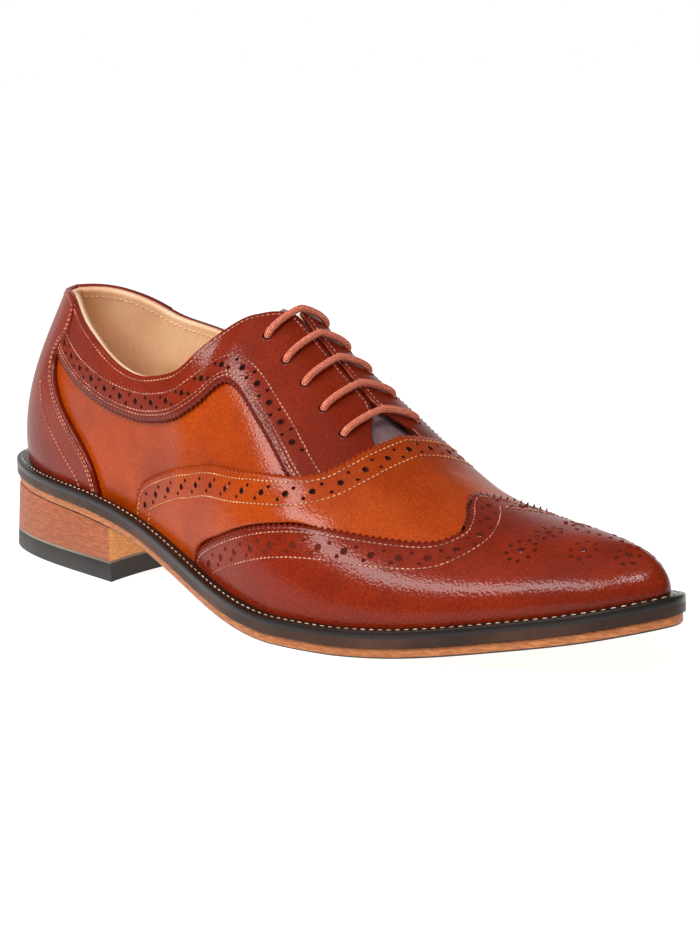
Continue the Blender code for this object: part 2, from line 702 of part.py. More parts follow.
def main():
    clear_scene()
    parts = collection_of("brogue_shoe")
    tools = collection_of("cutters")
    paints = {
        "tan_calf": material_of("tan_calf", (0.50, 0.15, 0.03), 0.35),
        "brown_calf": material_of("brown_calf", (0.25, 0.05, 0.02), 0.35),
        "tongue_calf": material_of("tongue_calf", (0.30, 0.07, 0.03), 0.4),
        "beige_lining": material_of("beige_lining", (0.60, 0.40, 0.25), 0.7),
        "black_edge": material_of("black_edge", (0.02, 0.02, 0.02), 0.3),
        "outsole_leather": material_of("outsole_leather", (0.50, 0.22, 0.09), 0.5),
        "stacked_heel": material_of("stacked_heel", (0.30, 0.11, 0.06), 0.45),
        "black_rubber": material_of("black_rubber", (0.02, 0.02, 0.02), 0.7),
        "lace_cord": material_of("lace_cord", (0.45, 0.16, 0.10), 0.6),
    }
    make_sole(paints, parts, tools)
    welt_ring(paints, parts)
    upper = make_upper(paints, parts)
    facings = make_overlays(paints, parts)
    make_tongue(paints, parts)
    make_insole(paints, parts)
    make_laces(paints, parts)
    cut_eyelets(upper, facings, tools)


main()
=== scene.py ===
# %% [markdown]
# A two-tone wing-tip brogue for the right foot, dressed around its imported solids.
# The frame holds the real sizes; every piece below is drawn over the same last and rides on it.
# All lengths are in millimetres until the moment a mesh is made, because shoemakers think in them.

# %% Load the frame
import functools
import math

import bmesh
import bpy
import numpy as np
from mathutils import Matrix, Vector
from mathutils.bvhtree import BVHTree


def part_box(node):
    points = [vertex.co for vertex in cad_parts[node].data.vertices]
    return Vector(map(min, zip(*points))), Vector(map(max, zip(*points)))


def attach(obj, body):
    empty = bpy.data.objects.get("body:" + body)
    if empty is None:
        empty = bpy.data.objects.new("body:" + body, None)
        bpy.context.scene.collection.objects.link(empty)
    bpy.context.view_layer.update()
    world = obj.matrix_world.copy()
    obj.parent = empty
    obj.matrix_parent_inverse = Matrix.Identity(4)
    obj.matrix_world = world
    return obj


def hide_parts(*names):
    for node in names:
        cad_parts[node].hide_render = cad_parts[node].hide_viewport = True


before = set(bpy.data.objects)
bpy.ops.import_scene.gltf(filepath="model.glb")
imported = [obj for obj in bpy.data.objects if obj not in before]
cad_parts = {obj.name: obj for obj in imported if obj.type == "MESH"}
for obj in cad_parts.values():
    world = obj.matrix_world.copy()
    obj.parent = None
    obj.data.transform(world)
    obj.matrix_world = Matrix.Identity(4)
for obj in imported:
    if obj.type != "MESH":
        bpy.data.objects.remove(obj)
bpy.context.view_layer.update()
MM = 0.001
print("nodes in the frame:", len(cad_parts))

# %% [markdown]
# The last is the wooden foot that a shoe is made over, and its shape is what the upper shows.
# Here it is a short table of ribs: each rib climbs from the feather line, where upper and welt meet,
# to the ankle or to the crest. Natural cubic splines run between the rows, so a few give a smooth surface.

# %% The last, as tables
SOLE_LENGTH = 305.0
TOE_TIP_Y = -3.0
TREAD_FROM, TREAD_TO = 0.61, 0.69  # shares of the length that lie flat on the floor
OUTSOLE_THICK, MIDSOLE_THICK, WELT_THICK, SEAT_GAP = 3.2, 2.5, 2.4, 0.3
SOLE_MARGIN = 0.8
HEEL_FRONT, HEEL_FLARE, BREAST_HOLLOW, TOP_PIECE_THICK = 84.0, 4.0, 5.0, 6.3
OUTLINE = (
    # share of the length, reach to the outer side, reach to the inner side
    (0.020, 17.0, 16.5),
    (0.060, 25.0, 26.0),
    (0.120, 30.5, 31.5),
    (0.230, 35.0, 33.0),
    (0.330, 38.5, 30.0),
    (0.450, 46.0, 31.0),
    (0.580, 54.0, 40.5),
    (0.680, 52.0, 44.5),
    (0.780, 43.0, 40.5),
    (0.880, 30.5, 27.5),
    (0.950, 20.5, 14.5),
    (0.985, 11.5, 6.0),
)
SOLE_RISE = (
    # share, underside of the outsole above the floor
    (0.00, 25.0),
    (0.12, 22.2),
    (0.24, 20.0),
    (0.34, 15.5),
    (0.45, 7.6),
    (0.56, 1.4),
    (TREAD_FROM, 0.0),
    (TREAD_TO, 0.0),
    (0.76, 1.4),
    (0.85, 5.6),
    (0.93, 10.3),
    (1.00, 15.5),
)
LAST = (
    # share of the feather line, top x, half width, crest to the inner side, height, tilt, spring, low, high
    (0.000, 25.5, 0.0, 1.0, 98.0, 60, 4, 0.42, 0.36),
    (0.030, 31.8, 8.8, 1.5, 98.5, 66, 5, 0.42, 0.36),
    (0.080, 42.2, 15.2, 1.5, 100.0, 71, 7, 0.42, 0.36),
    (0.160, 58.0, 20.0, 1.0, 102.5, 74, 5, 0.42, 0.36),
    (0.250, 78.0, 23.5, 0.5, 105.0, 74, 3, 0.42, 0.36),
    (0.340, 104.0, 19.5, -0.5, 106.5, 68, 0, 0.42, 0.38),
    (0.400, 123.0, 10.0, -1.0, 104.5, 44, 0, 0.42, 0.42),
    (0.450, 138.0, 0.0, -1.5, 98.8, 16, 0, 0.42, 0.52),
    (0.520, 156.0, 0.0, -2.0, 85.8, 8, 2, 0.42, 0.60),
    (0.600, 181.0, 0.0, -2.5, 67.2, 5, 6, 0.45, 0.64),
    (0.680, 205.0, 0.0, -2.0, 49.8, 3, 12, 0.50, 0.56),
    (0.760, 229.0, 0.0, 0.0, 40.2, 1, 18, 0.55, 0.51),
    (0.840, 252.0, 0.0, 2.0, 36.8, 0, 20, 0.60, 0.49),
    (0.910, 268.0, 0.0, 1.0, 36.2, 0, 20, 0.62, 0.50),
    (0.960, 278.0, 0.0, -0.4, 35.7, 0, 20, 0.62, 0.52),
    (1.000, 285.0, 0.0, -1.2, 35.4, 0, 20, 0.62, 0.54),
)
WELT_LEDGE = ((0.00, 5.2), (0.12, 4.0), (0.30, 3.8), (0.55, 5.0), (1.00, 5.6))  # share, sole's edge to upper
THROAT_SHARE = 0.45  # where the two sides of the opening come together
CLOSING_TURNS = 0.03
BACK_TURNS = 0.16  # the ribs of the back stand square to the outline, then turn towards their crest points
SLOPE_FROM, SLOPE_OVER = 0.30, 0.14  # turns over which the ribs begin to follow the slope of the instep
STEP = 1e-3  # of a turn, for slopes
TIP_TURNS = 0.03  # the ribs meet at the tip of the toe, so up there the slope is taken this far behind it

# %% Splines and the outline of the sole


def unit(rows):
    """Every row at length one."""
    return rows / np.linalg.norm(rows, axis=-1)[..., None]


def run_of(points):
    """How far along a line each of its points lies."""
    return np.concatenate([[0], np.cumsum(np.linalg.norm(np.diff(points, axis=0), axis=1))])


def read_at(at, along, rows):
    """The rows of a line, read at distances along it."""
    return np.stack([np.interp(at, along, column) for column in rows.T], 1)


@functools.cache
def natural_spline(xs, ys):
    n = len(xs)
    h = np.diff(xs)
    a = np.eye(n)
    r = np.zeros(n)
    for i in range(1, n - 1):
        a[i, i - 1:i + 2] = h[i - 1], 2 * (h[i - 1] + h[i]), h[i]
        r[i] = 6 * ((ys[i + 1] - ys[i]) / h[i] - (ys[i] - ys[i - 1]) / h[i - 1])
    return np.linalg.solve(a, r)


def smooth(xs, ys, at):
    """The natural cubic through (xs, ys), read at one value or many."""
    m = natural_spline(tuple(xs), tuple(ys))
    xs, ys, at = np.asarray(xs, float), np.asarray(ys, float), np.asarray(at, float)
    i = np.clip(np.searchsorted(xs, at) - 1, 0, len(xs) - 2)
    h = xs[i + 1] - xs[i]
    p, q = (xs[i + 1] - at) / h, (at - xs[i]) / h
    return p * ys[i] + q * ys[i + 1] + ((p**3 - p) * m[i] + (q**3 - q) * m[i + 1]) * h * h / 6


def turn_of(share):
    """Turns run 0 to 1 like shares of the length, but bunch up at both ends, where the outline bends most."""
    return np.arccos(np.clip(1 - 2 * np.asarray(share, float), -1, 1)) / math.pi


def share_of(turn):
    return (1 - np.cos(math.pi * np.asarray(turn, float))) / 2


@functools.cache
def knots(rows, column):
    """A column of a table, with the turns that its rows stand at."""
    return tuple(float(turn_of(row[0])) for row in rows), tuple(row[column] for row in rows)


def table_column(rows, column, turn):
    return smooth(*knots(rows, column), turn)


def outline_reach(turn, side):
    turns, reaches = knots(OUTLINE, 1 if side < 0 else 2)
    return smooth((0.0, *turns, 1.0), (0.0, *reaches, side * TOE_TIP_Y), turn)


def outline_point(turn, side, inset=0.0):
    """(x, y) on the sole's edge, or set in from it, and the outward direction there."""
    here = np.asarray(turn, float)
    x, y = share_of(here) * SOLE_LENGTH, side * outline_reach(here, side)
    before, after = np.clip(here - STEP, 0, 1), np.clip(here + STEP, 0, 1)
    dx = (share_of(after) - share_of(before)) * SOLE_LENGTH
    dy = side * (outline_reach(after, side) - outline_reach(before, side))
    size = np.hypot(dx, dy)
    ends = (here <= 0) | (here >= 1)
    nx = np.where(ends, np.where(here <= 0, -1.0, 1.0), -side * dy / size)
    ny = np.where(ends, 0.0, side * dx / size)
    return np.stack([x - nx * inset, y - ny * inset], -1), np.stack([nx, ny], -1)


def sole_height(x):
    shares, heights = zip(*SOLE_RISE)
    share = np.clip(np.asarray(x, float) / SOLE_LENGTH, 0, 1)
    height = smooth(shares, heights, share)
    return np.where((share >= TREAD_FROM) & (share <= TREAD_TO), 0.0, np.maximum(height, 0.0))


MIDSOLE_TOP = OUTSOLE_THICK + SEAT_GAP + MIDSOLE_THICK  # over the underside of the outsole
THROAT_TURN = float(turn_of(THROAT_SHARE))

# %% The surface of the last


def rib(turn, side):
    """The four control points of the last's rib at each turn."""
    turn = np.atleast_1d(np.asarray(turn, float))
    ledge = np.interp(share_of(turn), *zip(*WELT_LEDGE))
    foot_xy, out = outline_point(turn, side, ledge)
    foot = np.concatenate([foot_xy, (sole_height(foot_xy[:, 0]) + MIDSOLE_TOP + SEAT_GAP)[:, None]], 1)
    top_x, half, crest, top_z, tilt, spring, low, high = (table_column(LAST, k, turn) for k in range(1, 9))
    closing = np.clip((THROAT_TURN - turn) / CLOSING_TURNS, 0, 1)
    half = np.maximum(half, 0) * closing * closing * (3 - 2 * closing)
    top = np.stack([top_x, side * half + crest, top_z], 1)
    rise = (top - foot)[:, 2]
    across = (foot - top)[:, :2]
    span = np.linalg.norm(across, axis=1)
    blend = np.clip(turn / BACK_TURNS, 0, 1)[:, None]
    away = unit(across / span[:, None] * blend + out * (1 - blend))
    ahead, astern = np.clip(turn + STEP, 0, 1), np.clip(turn - STEP, 0, 1)
    slope = ((table_column(LAST, 4, ahead) - table_column(LAST, 4, astern))
             / (table_column(LAST, 1, ahead) - table_column(LAST, 1, astern)))
    slope = slope * np.clip((turn - SLOPE_FROM) / SLOPE_OVER, 0, 1)
    tilt, spring = np.radians(tilt), np.radians(spring)
    rise_dir = np.concatenate([out * np.sin(spring)[:, None], np.cos(spring)[:, None]], 1)
    fall = -np.sin(tilt) + slope * away[:, 0] * np.cos(tilt)
    down_dir = np.concatenate([away * np.cos(tilt)[:, None], fall[:, None]], 1)
    reach = high * (span * np.cos(tilt) + rise * np.sin(tilt))
    return foot, foot + rise_dir * (low * rise)[:, None], top + down_dir * reach[:, None], top


def upper_surface(turn, climb, side):
    """Points of the last: turn runs heel to toe, climb runs 0 to 1 up a rib, side is -1 for outer."""
    turn, climb = np.broadcast_arrays(np.asarray(turn, float), np.asarray(climb, float))
    shape = turn.shape
    c = climb.ravel()[:, None]
    a, b, d, e = rib(turn.ravel(), side)
    p = a * (1 - c)**3 + b * 3 * c * (1 - c)**2 + d * 3 * c * c * (1 - c) + e * c**3
    return p.reshape(shape + (3,))


def one_sided_normal(turn, climb, side):
    e = 2 * STEP
    turn = np.minimum(turn, 1 - TIP_TURNS * climb**6)
    t0, t1 = np.clip(turn - e, 0, 1), np.clip(turn + e, 0, 1)
    c0, c1 = np.clip(climb - e, 0, 1), np.clip(climb + e, 0, 1)
    along = upper_surface(t1, climb, side) - upper_surface(t0, climb, side)
    up = upper_surface(turn, c1, side) - upper_surface(turn, c0, side)
    return unit(np.cross(along, up) * -side)


def upper_normal(turn, climb, side):
    turn, climb = np.broadcast_arrays(np.asarray(turn, float), np.asarray(climb, float))
    n = one_sided_normal(turn, climb, side)
    meeting = (turn < 1e-9) | (turn > 1 - 1e-9) | ((climb > 1 - 1e-9) & (turn > THROAT_TURN))
    return unit(np.where(meeting[..., None], n + one_sided_normal(turn, climb, -side), n))


# %% [markdown]
# Leather pulled over a last isn't perfectly fair: it bulges a little over stiffeners and dips where it
# bends. A few soft troughs and ridges are laid on the last, each along a short line with a width and
# a depth. Every layer of the upper follows them, so none parts from the one below.

# %% Creases, listed
CREASES = (
    # side, share from, climb from, share to, climb to, width, height over the last
    (-1, 0.600, 0.42, 0.690, 0.86, 5.0, -0.35),
    (-1, 0.640, 0.36, 0.735, 0.80, 6.0, -0.30),
    (-1, 0.620, 0.40, 0.712, 0.84, 5.0, 0.25),
    (1, 0.600, 0.42, 0.690, 0.86, 5.0, -0.35),
    (1, 0.640, 0.36, 0.735, 0.80, 6.0, -0.30),
    (-1, 0.300, 0.16, 0.420, 0.34, 8.0, -0.45),
    (-1, 0.250, 0.30, 0.360, 0.34, 9.0, -0.30),
    (1, 0.300, 0.16, 0.430, 0.36, 8.0, -0.45),
    (-1, 0.080, 0.10, 0.220, 0.08, 7.0, 0.35),
    (1, 0.080, 0.10, 0.220, 0.08, 7.0, 0.35),
)


def crease_lines():
    found = []
    for side, share_a, climb_a, share_b, climb_b, width, height in CREASES:
        ends = upper_surface(turn_of(np.array([share_a, share_b])), np.array([climb_a, climb_b]), side)
        found.append((ends[0], ends[1] - ends[0], width, height))
    return found


CREASE_LINES = crease_lines()


def soft_form(points):
    """How far the leather stands over the last at each point, from the creases near it."""
    total = np.zeros(points.shape[:-1])
    for start, run, width, height in CREASE_LINES:
        away = points - start
        along = np.clip((away @ run) / (run @ run), 0, 1)
        gap = np.linalg.norm(away - along[..., None] * run, axis=-1)
        total += height * np.exp(-(gap / width)**2)
    return total


def raised(turn, climb, side, height):
    """Points at a height over the last, creases included."""
    base = upper_surface(turn, climb, side)
    return base + upper_normal(turn, climb, side) * (height + soft_form(base))[..., None]


print("creases laid:", len(CREASE_LINES))

# %% [markdown]
# The pieces of an upper are cut to patterns. Each pattern edge is a table of places on the last, given as a
# share of the feather line and a climb up the rib. Most rows are those of the solids, so each panel fills its
# own solid's place; where one panel dips under the next, it reaches a little further than its solid.

# %% Pattern edges
OPENING = (
    # share, climb on the outer side, climb on the inner side: the topline, then the slit under the laces
    (0.000, 0.930, 0.930),
    (0.040, 0.926, 0.905),
    (0.085, 0.914, 0.845),
    (0.125, 0.864, 0.780),
    (0.150, 0.822, 0.735),
    (0.198, 0.742, 0.675),
    (0.232, 0.682, 0.642),
    (0.275, 0.598, 0.602),
    (0.320, 0.562, 0.585),
    (0.366, 0.588, 0.612),
    (0.399, 0.642, 0.662),
    (0.420, 0.728, 0.740),
    (0.440, 0.808, 0.815),
    (0.458, 0.868, 0.872),
    (0.490, 0.948, 0.950),
    (0.520, 0.968, 0.968),
    (0.560, 0.975, 0.975),
    (0.610, 0.972, 0.972),
    (0.628, 0.930, 0.930),
    (0.638, 0.900, 0.900),
)
SLIT_END, SLIT_BLEND = 0.648, 0.004
SLIT_END_TURN = float(turn_of(SLIT_END))
SLIT_LAST_TURN = float(turn_of(SLIT_END - SLIT_BLEND))  # from here on the opening is shut
WING_CAP = (
    # share and climb at the foot, share and climb at the pinked edge
    (0.453, 0.0, 0.454, 0.012),
    (0.475, 0.0, 0.463, 0.071),
    (0.515, 0.0, 0.508, 0.167),
    (0.553, 0.0, 0.550, 0.250),
    (0.597, 0.0, 0.596, 0.338),
    (0.633, 0.0, 0.634, 0.404),
    (0.665, 0.0, 0.667, 0.454),
    (0.696, 0.0, 0.699, 0.492),
    (0.722, 0.0, 0.727, 0.521),
    (0.748, 0.0, 0.757, 0.556),
    (0.768, 0.0, 0.772, 0.600),
    (0.793, 0.0, 0.780, 0.680),
    (0.832, 0.0, 0.777, 0.735),
    (0.862, 0.0, 0.772, 0.783),
    (0.888, 0.0, 0.764, 0.840),
    (0.910, 0.0, 0.755, 0.890),
    (0.932, 0.0, 0.740, 1.0),
)
TOE_CREST = (
    # the rest of the cap: foot, then a place on the crest of the toe
    (0.932, 0.0, 0.740, 1.0),
    (0.951, 0.0, 0.800, 1.0),
    (0.970, 0.0, 0.870, 1.0),
    (0.987, 0.0, 0.940, 1.0),
    (1.000, 0.0, 1.000, 1.0),
)
VAMP = (
    # share and climb under the wing cap, share and climb at the pinked edge
    (0.447, 0.0, 0.318, 0.0),
    (0.453, 0.060, 0.331, 0.117),
    (0.470, 0.110, 0.358, 0.183),
    (0.502, 0.170, 0.404, 0.254),
    (0.545, 0.258, 0.445, 0.296),
    (0.592, 0.347, 0.503, 0.367),
    (0.630, 0.414, 0.544, 0.433),
    (0.664, 0.445, 0.581, 0.500),
    (0.697, 0.484, 0.607, 0.558),
    (0.736, 0.512, 0.627, 0.637),
    (0.776, 0.572, 0.637, 0.742),
    (0.793, 0.680, 0.641, 0.830),
    (0.785, 0.780, 0.643, 0.890),
    (0.768, 0.888, 0.644, 0.950),
    (0.756, 1.0, 0.644, 1.0),
)
FACING = (
    # share and climb at the pinked edge, share at the topline or slit
    (0.098, 0.650, 0.104),
    (0.127, 0.586, 0.133),
    (0.150, 0.545, 0.158),
    (0.198, 0.467, 0.205),
    (0.259, 0.396, 0.260),
    (0.314, 0.379, 0.314),
    (0.355, 0.400, 0.358),
    (0.396, 0.442, 0.399),
    (0.427, 0.500, 0.428),
    (0.456, 0.580, 0.455),
    (0.476, 0.604, 0.490),
    (0.513, 0.604, 0.525),
    (0.550, 0.588, 0.560),
    (0.575, 0.562, 0.590),
    (0.592, 0.541, 0.604),
    (0.616, 0.545, 0.616),
    (0.636, 0.620, 0.628),
    (0.646, 0.740, 0.636),
    (0.648, 0.870, 0.641),
)
FACING_SLIT = (
    # share, climb of the facing's upper edge: closed under the laces, then a dome over the tongue
    (0.458, 0.868),
    (0.472, 0.930),
    (0.484, 0.978),
    (0.515, 0.990),
    (0.600, 0.991),
    (0.611, 0.975),
    (0.620, 0.938),
    (0.630, 0.895),
    (0.645, 0.870),
)
COUNTER = (
    # climb, share at the edge
    (0.000, 0.241),
    (0.090, 0.237),
    (0.180, 0.225),
    (0.275, 0.198),
    (0.380, 0.160),
    (0.500, 0.125),
    (0.600, 0.111),
    (0.660, 0.117),
    (0.730, 0.132),
    (0.900, 0.135),
)
EYELETS = (
    # share, climb
    (0.486, 0.825),
    (0.521, 0.830),
    (0.552, 0.833),
    (0.583, 0.824),
    (0.614, 0.812),
)
# heights of the finished surfaces over the last, and how thick the leather shows at a cut edge
WING_HEIGHT, VAMP_HEIGHT, COUNTER_HEIGHT, FACING_HEIGHT, QUARTER_HEIGHT = 0.8, 0.3, 0.3, -0.1, -1.6
WING_THICK, VAMP_THICK, COUNTER_THICK, FACING_THICK, WALL = 1.2, 1.9, 1.9, 1.45, 2.0
SIDES = (-1, 1)  # outer side of the foot, inner side


def opening_climb(turn, side):
    turn = np.asarray(turn, float)
    climb = table_column(OPENING, 1 if side < 0 else 2, turn)
    return np.where(turn > SLIT_LAST_TURN, 1.0, np.clip(climb, 0, 0.99))


def through_rows(rows, per_row):
    """Rows with more between them, on a curve through them all."""
    rows = np.asarray(rows, float)
    padded = np.vstack([2 * rows[0] - rows[1], rows, 2 * rows[-1] - rows[-2]])
    found = []
    for i in range(1, len(padded) - 2):
        before, a, b, after = padded[i - 1:i + 3]
        for k in range(per_row):
            u = k / per_row
            found.append(0.5 * (2 * a + (b - before) * u + (2 * before - 5 * a + 4 * b - after) * u * u
                                + (3 * a - before - 3 * b + after) * u**3))
    found.append(rows[-1])
    return np.array(found)


# %% [markdown]
# The CAD solids stand with the middle of their footprint at the origin, so tables drawn from the heel's
# back are shifted by what the midsole's box says. Every piece of the shoe is made by the one function below.

# %% Make meshes
MIDSOLE_LOW, MIDSOLE_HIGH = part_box("midsole")
EDGE_TURNS = np.linspace(0, 1, 241)
INNER_REACH = outline_point(EDGE_TURNS, 1)[0][:, 1].max()
SHIFT = np.array([-MIDSOLE_LOW.x / MM, INNER_REACH - MIDSOLE_HIGH.y / MM, 0.0])
print("shift from the heel's back, mm:", np.round(SHIFT, 2))


def to_scene(points):
    return (np.asarray(points, float) - SHIFT) * MM


def mesh_piece(name, points, faces, materials, slots=None, marks=None, weld=True, sharp=50):
    """A mesh from points in millimetres. slots gives each face its material, marks are values per point."""
    mesh = bpy.data.meshes.new(name)
    mesh.from_pydata(to_scene(points).tolist(), [], [tuple(int(i) for i in f) for f in faces])
    for material in materials:
        mesh.materials.append(material)
    if slots is not None:
        mesh.polygons.foreach_set("material_index", np.asarray(slots, np.int32))
    for mark, values in (marks or {}).items():
        mesh.attributes.new(mark, "FLOAT", "POINT").data.foreach_set("value", np.asarray(values, np.float32))
    if weld:
        bm = bmesh.new()
        bm.from_mesh(mesh)
        bmesh.ops.remove_doubles(bm, verts=bm.verts, dist=4e-6)
        bmesh.ops.dissolve_degenerate(bm, dist=1e-7, edges=bm.edges)
        bm.to_mesh(mesh)
        bm.free()
    mesh.shade_smooth()
    mesh.set_sharp_from_angle(angle=math.radians(sharp))
    made = bpy.data.objects.new(name, mesh)
    bpy.context.scene.collection.objects.link(made)
    return made


def grid_faces(columns, rows, start, flipped):
    i, j = np.meshgrid(np.arange(columns - 1), np.arange(rows - 1), indexing="ij")
    a = (start + i * rows + j).ravel()
    quads = np.stack([a, a + rows, a + rows + 1, a + 1], 1)
    return quads[:, ::-1] if flipped else quads


def grids_piece(name, grids, materials, marks=None, **options):
    """One mesh from grids of points, each (points, flipped), with marks as lists of matching arrays."""
    points, faces, start = [], [], 0
    for grid, flipped in grids:
        faces.append(grid_faces(grid.shape[0], grid.shape[1], start, flipped))
        points.append(grid.reshape(-1, 3))
        start += grid.shape[0] * grid.shape[1]
    marks = {k: np.concatenate([np.ravel(v) for v in values]) for k, values in (marks or {}).items()}
    return mesh_piece(name, np.concatenate(points), np.concatenate(faces), materials, marks=marks, **options)


def thicken(obj, thickness, inner=0, rim=0):
    """Leather's thickness, inwards from the finished face; inner and rim count on to those faces' materials."""
    solid = obj.modifiers.new("thickness", "SOLIDIFY")
    solid.thickness = thickness * MM
    solid.offset = -1
    solid.use_even_offset = False
    solid.material_offset = inner
    solid.material_offset_rim = rim


# %% [markdown]
# A material is a small graph of nodes. One helper adds a node, sets what it is and joins what feeds it.
# Colours are written as the hex values that a designer would note down, and one function makes them linear.

# %% Nodes and colours


def linear(code):
    """A colour written as sRGB hex becomes the linear one that shaders use."""
    parts = [int(code[i:i + 2], 16) / 255 for i in (0, 2, 4)]
    return tuple(c / 12.92 if c <= 0.04045 else ((c + 0.055) / 1.055)**2.4 for c in parts) + (1.0,)


def add(tree, kind, inputs=None, **settings):
    node = tree.nodes.new(kind)
    for name, value in settings.items():
        setattr(node, name, value)
    for name, value in (inputs or {}).items():
        if isinstance(value, bpy.types.NodeSocket):
            tree.links.new(value, node.inputs[name])
        else:
            node.inputs[name].default_value = value
    return node


def new_material(name, **shader):
    """A material and its Principled shader, with the plain numbers set on the shader's own sockets."""
    made = bpy.data.materials.new(name)
    made.use_nodes = True
    found = made.node_tree.nodes["Principled BSDF"]
    for socket, value in shader.items():
        found.inputs[socket.replace("_", " ").title().replace("Ior", "IOR")].default_value = value
    return made, made.node_tree, found


def mixed(tree, factor, a, b, blend="MIX"):
    """Two colours mixed by a factor; each may be a socket or a colour."""
    node = add(tree, "ShaderNodeMix", {0: factor, 6: a, 7: b}, data_type="RGBA", blend_type=blend)
    return node.outputs[2]


def ramped(tree, value, low, high, to_low=0.0, to_high=1.0):
    node = add(tree, "ShaderNodeMapRange", {"Value": value, "From Min": low, "From Max": high,
                                            "To Min": to_low, "To Max": to_high},
               interpolation_type="SMOOTHSTEP")
    return node.outputs["Result"]


def place_in(tree):
    return add(tree, "ShaderNodeTexCoord").outputs["Object"]


def noise(tree, where, size_mm, detail, roughness=0.5):
    """Noise whose lumps are about this size."""
    return add(tree, "ShaderNodeTexNoise", {"Vector": where, "Scale": 1000 / size_mm, "Detail": detail,
                                            "Roughness": roughness}).outputs["Fac"]


def toned(tree, tone, code, value, *limits):
    """The tone moved to another colour where the value says so. The limits are those of ramped."""
    return mixed(tree, ramped(tree, value, *limits), tone, linear(code))


def bumped(tree, height, strength, depth_mm, below=None, invert=False):
    inputs = {"Height": height, "Strength": strength, "Distance": depth_mm * MM}
    if below is not None:
        inputs["Normal"] = below
    return add(tree, "ShaderNodeBump", inputs, invert=invert).outputs["Normal"]


def dress(tree, shader, tone, normal):
    tree.links.new(tone, shader.inputs["Base Color"])
    tree.links.new(normal, shader.inputs["Normal"])


# %% [markdown]
# Calf for a brogue is dyed through, then polished with wax and burnished darker by hand along its edges and
# over the stiffeners. Its grain is a fine pebble, well under a millimetre. What the eye gets is a deep colour
# that drifts, tiny bright facets in the grain, and a soft gloss: rough leather under a thin coat of wax.

# %% Calf
GRAIN_MM = 0.72
DRIFT_MM = 34.0


def calf(name, colour, dark, pale, burnish=(), edge_dark=0.55, bump=0.42):
    """Waxed calf. burnish rows are (x, y, z from the heel's back, radius, how dark), in millimetres."""
    made, tree, shader = new_material(name, roughness=0.55, specular_ior_level=0.03, coat_weight=0.40,
                                      coat_roughness=0.17, coat_ior=1.5)
    where = place_in(tree)
    drift = noise(tree, where, DRIFT_MM, 3.0, 0.6)
    speckle = noise(tree, where, GRAIN_MM * 0.8, 2.0)
    pebbles = add(tree, "ShaderNodeTexVoronoi", {"Vector": where, "Scale": 1000 / GRAIN_MM,
                                                 "Randomness": 1.0}, feature="SMOOTH_F1").outputs["Distance"]
    tone = toned(tree, linear(dark), colour, drift, 0.34, 0.62, 0.45, 1.0)
    tone = toned(tree, tone, pale, speckle, 0.52, 0.75, 0.0, 0.30)
    tone = toned(tree, tone, dark, pebbles, 0.30, 0.62, 0.0, 0.38)
    edge = add(tree, "ShaderNodeAttribute", attribute_name="edge_mm").outputs["Fac"]
    tone = toned(tree, tone, dark, edge, 4.0, 0.4, 0.0, edge_dark)
    for x, y, z, radius, strength in burnish:
        centre = tuple((np.array([x, y, z]) - SHIFT) * MM)
        gap = add(tree, "ShaderNodeVectorMath", {0: where, 1: centre}, operation="DISTANCE").outputs["Value"]
        tone = toned(tree, tone, dark, gap, radius * MM, 0.15 * radius * MM, 0.0, strength)
    grain = bumped(tree, pebbles, bump, 0.22, invert=True)
    dress(tree, shader, tone, bumped(tree, speckle, bump * 0.5, 0.12, grain))
    tree.links.new(bumped(tree, pebbles, bump * 0.9, 0.18, invert=True), shader.inputs["Coat Normal"])
    return made


TAN_CALF = calf("tan_calf_waxed", "A83E00", "802400", "CC6418", burnish=(
    (108.0, -36.0, 36.0, 15.0, 0.60), (60.0, -30.0, 60.0, 26.0, 0.30)), edge_dark=0.25)
BROWN_CALF = calf("brown_calf_waxed", "802002", "580E02", "9C3C14", burnish=(
    (290.0, 0.0, 33.0, 18.0, 0.25),), edge_dark=0.5)
# The tongue's pale lilac grey is painted highlight: the sheen seen on it, laid into its colour in place of the
# leather's own.
TONGUE_HIGHLIGHT_CALF = calf("tongue_calf_painted_highlight", "A08488", "7E6064", "C4AEB0", edge_dark=0.2)


def plain_leather(name, colour, dark, roughness, bump, fleck_mm, **shader):
    """Leather without the wax, and rubber: lining, cut and painted edges, the painted shade in holes, sole."""
    made, tree, found = new_material(name, roughness=roughness, **shader)
    where = place_in(tree)
    fleck = noise(tree, where, fleck_mm, 4.0)
    tone = toned(tree, linear(dark), colour, noise(tree, where, 28.0, 2.0), 0.35, 0.68)
    tone = toned(tree, tone, dark, fleck, 0.45, 0.70, 0.0, 0.35)
    dress(tree, found, tone, bumped(tree, fleck, bump, 0.2))
    return made


LINING = plain_leather("pigskin_lining", "F4CCA0", "DCAA7C", 0.62, 0.30, 1.1)
BINDING = plain_leather("folded_lining_edge", "F8CCA8", "E4AC84", 0.55, 0.20, 0.8)
RAW_EDGE = plain_leather("cut_calf_edge", "5E2410", "3A1206", 0.60, 0.30, 0.6)
EDGE_DRESSING = plain_leather("black_edge_dressing", "1E110B", "100805", 0.36, 0.25, 0.9,
                              specular_ior_level=0.3, coat_weight=0.25, coat_roughness=0.2)
STAINED_EDGE = plain_leather("stained_midsole_edge", "4E2E1E", "2C180F", 0.5, 0.30, 1.3,
                             specular_ior_level=0.2, coat_weight=0.12, coat_roughness=0.3)
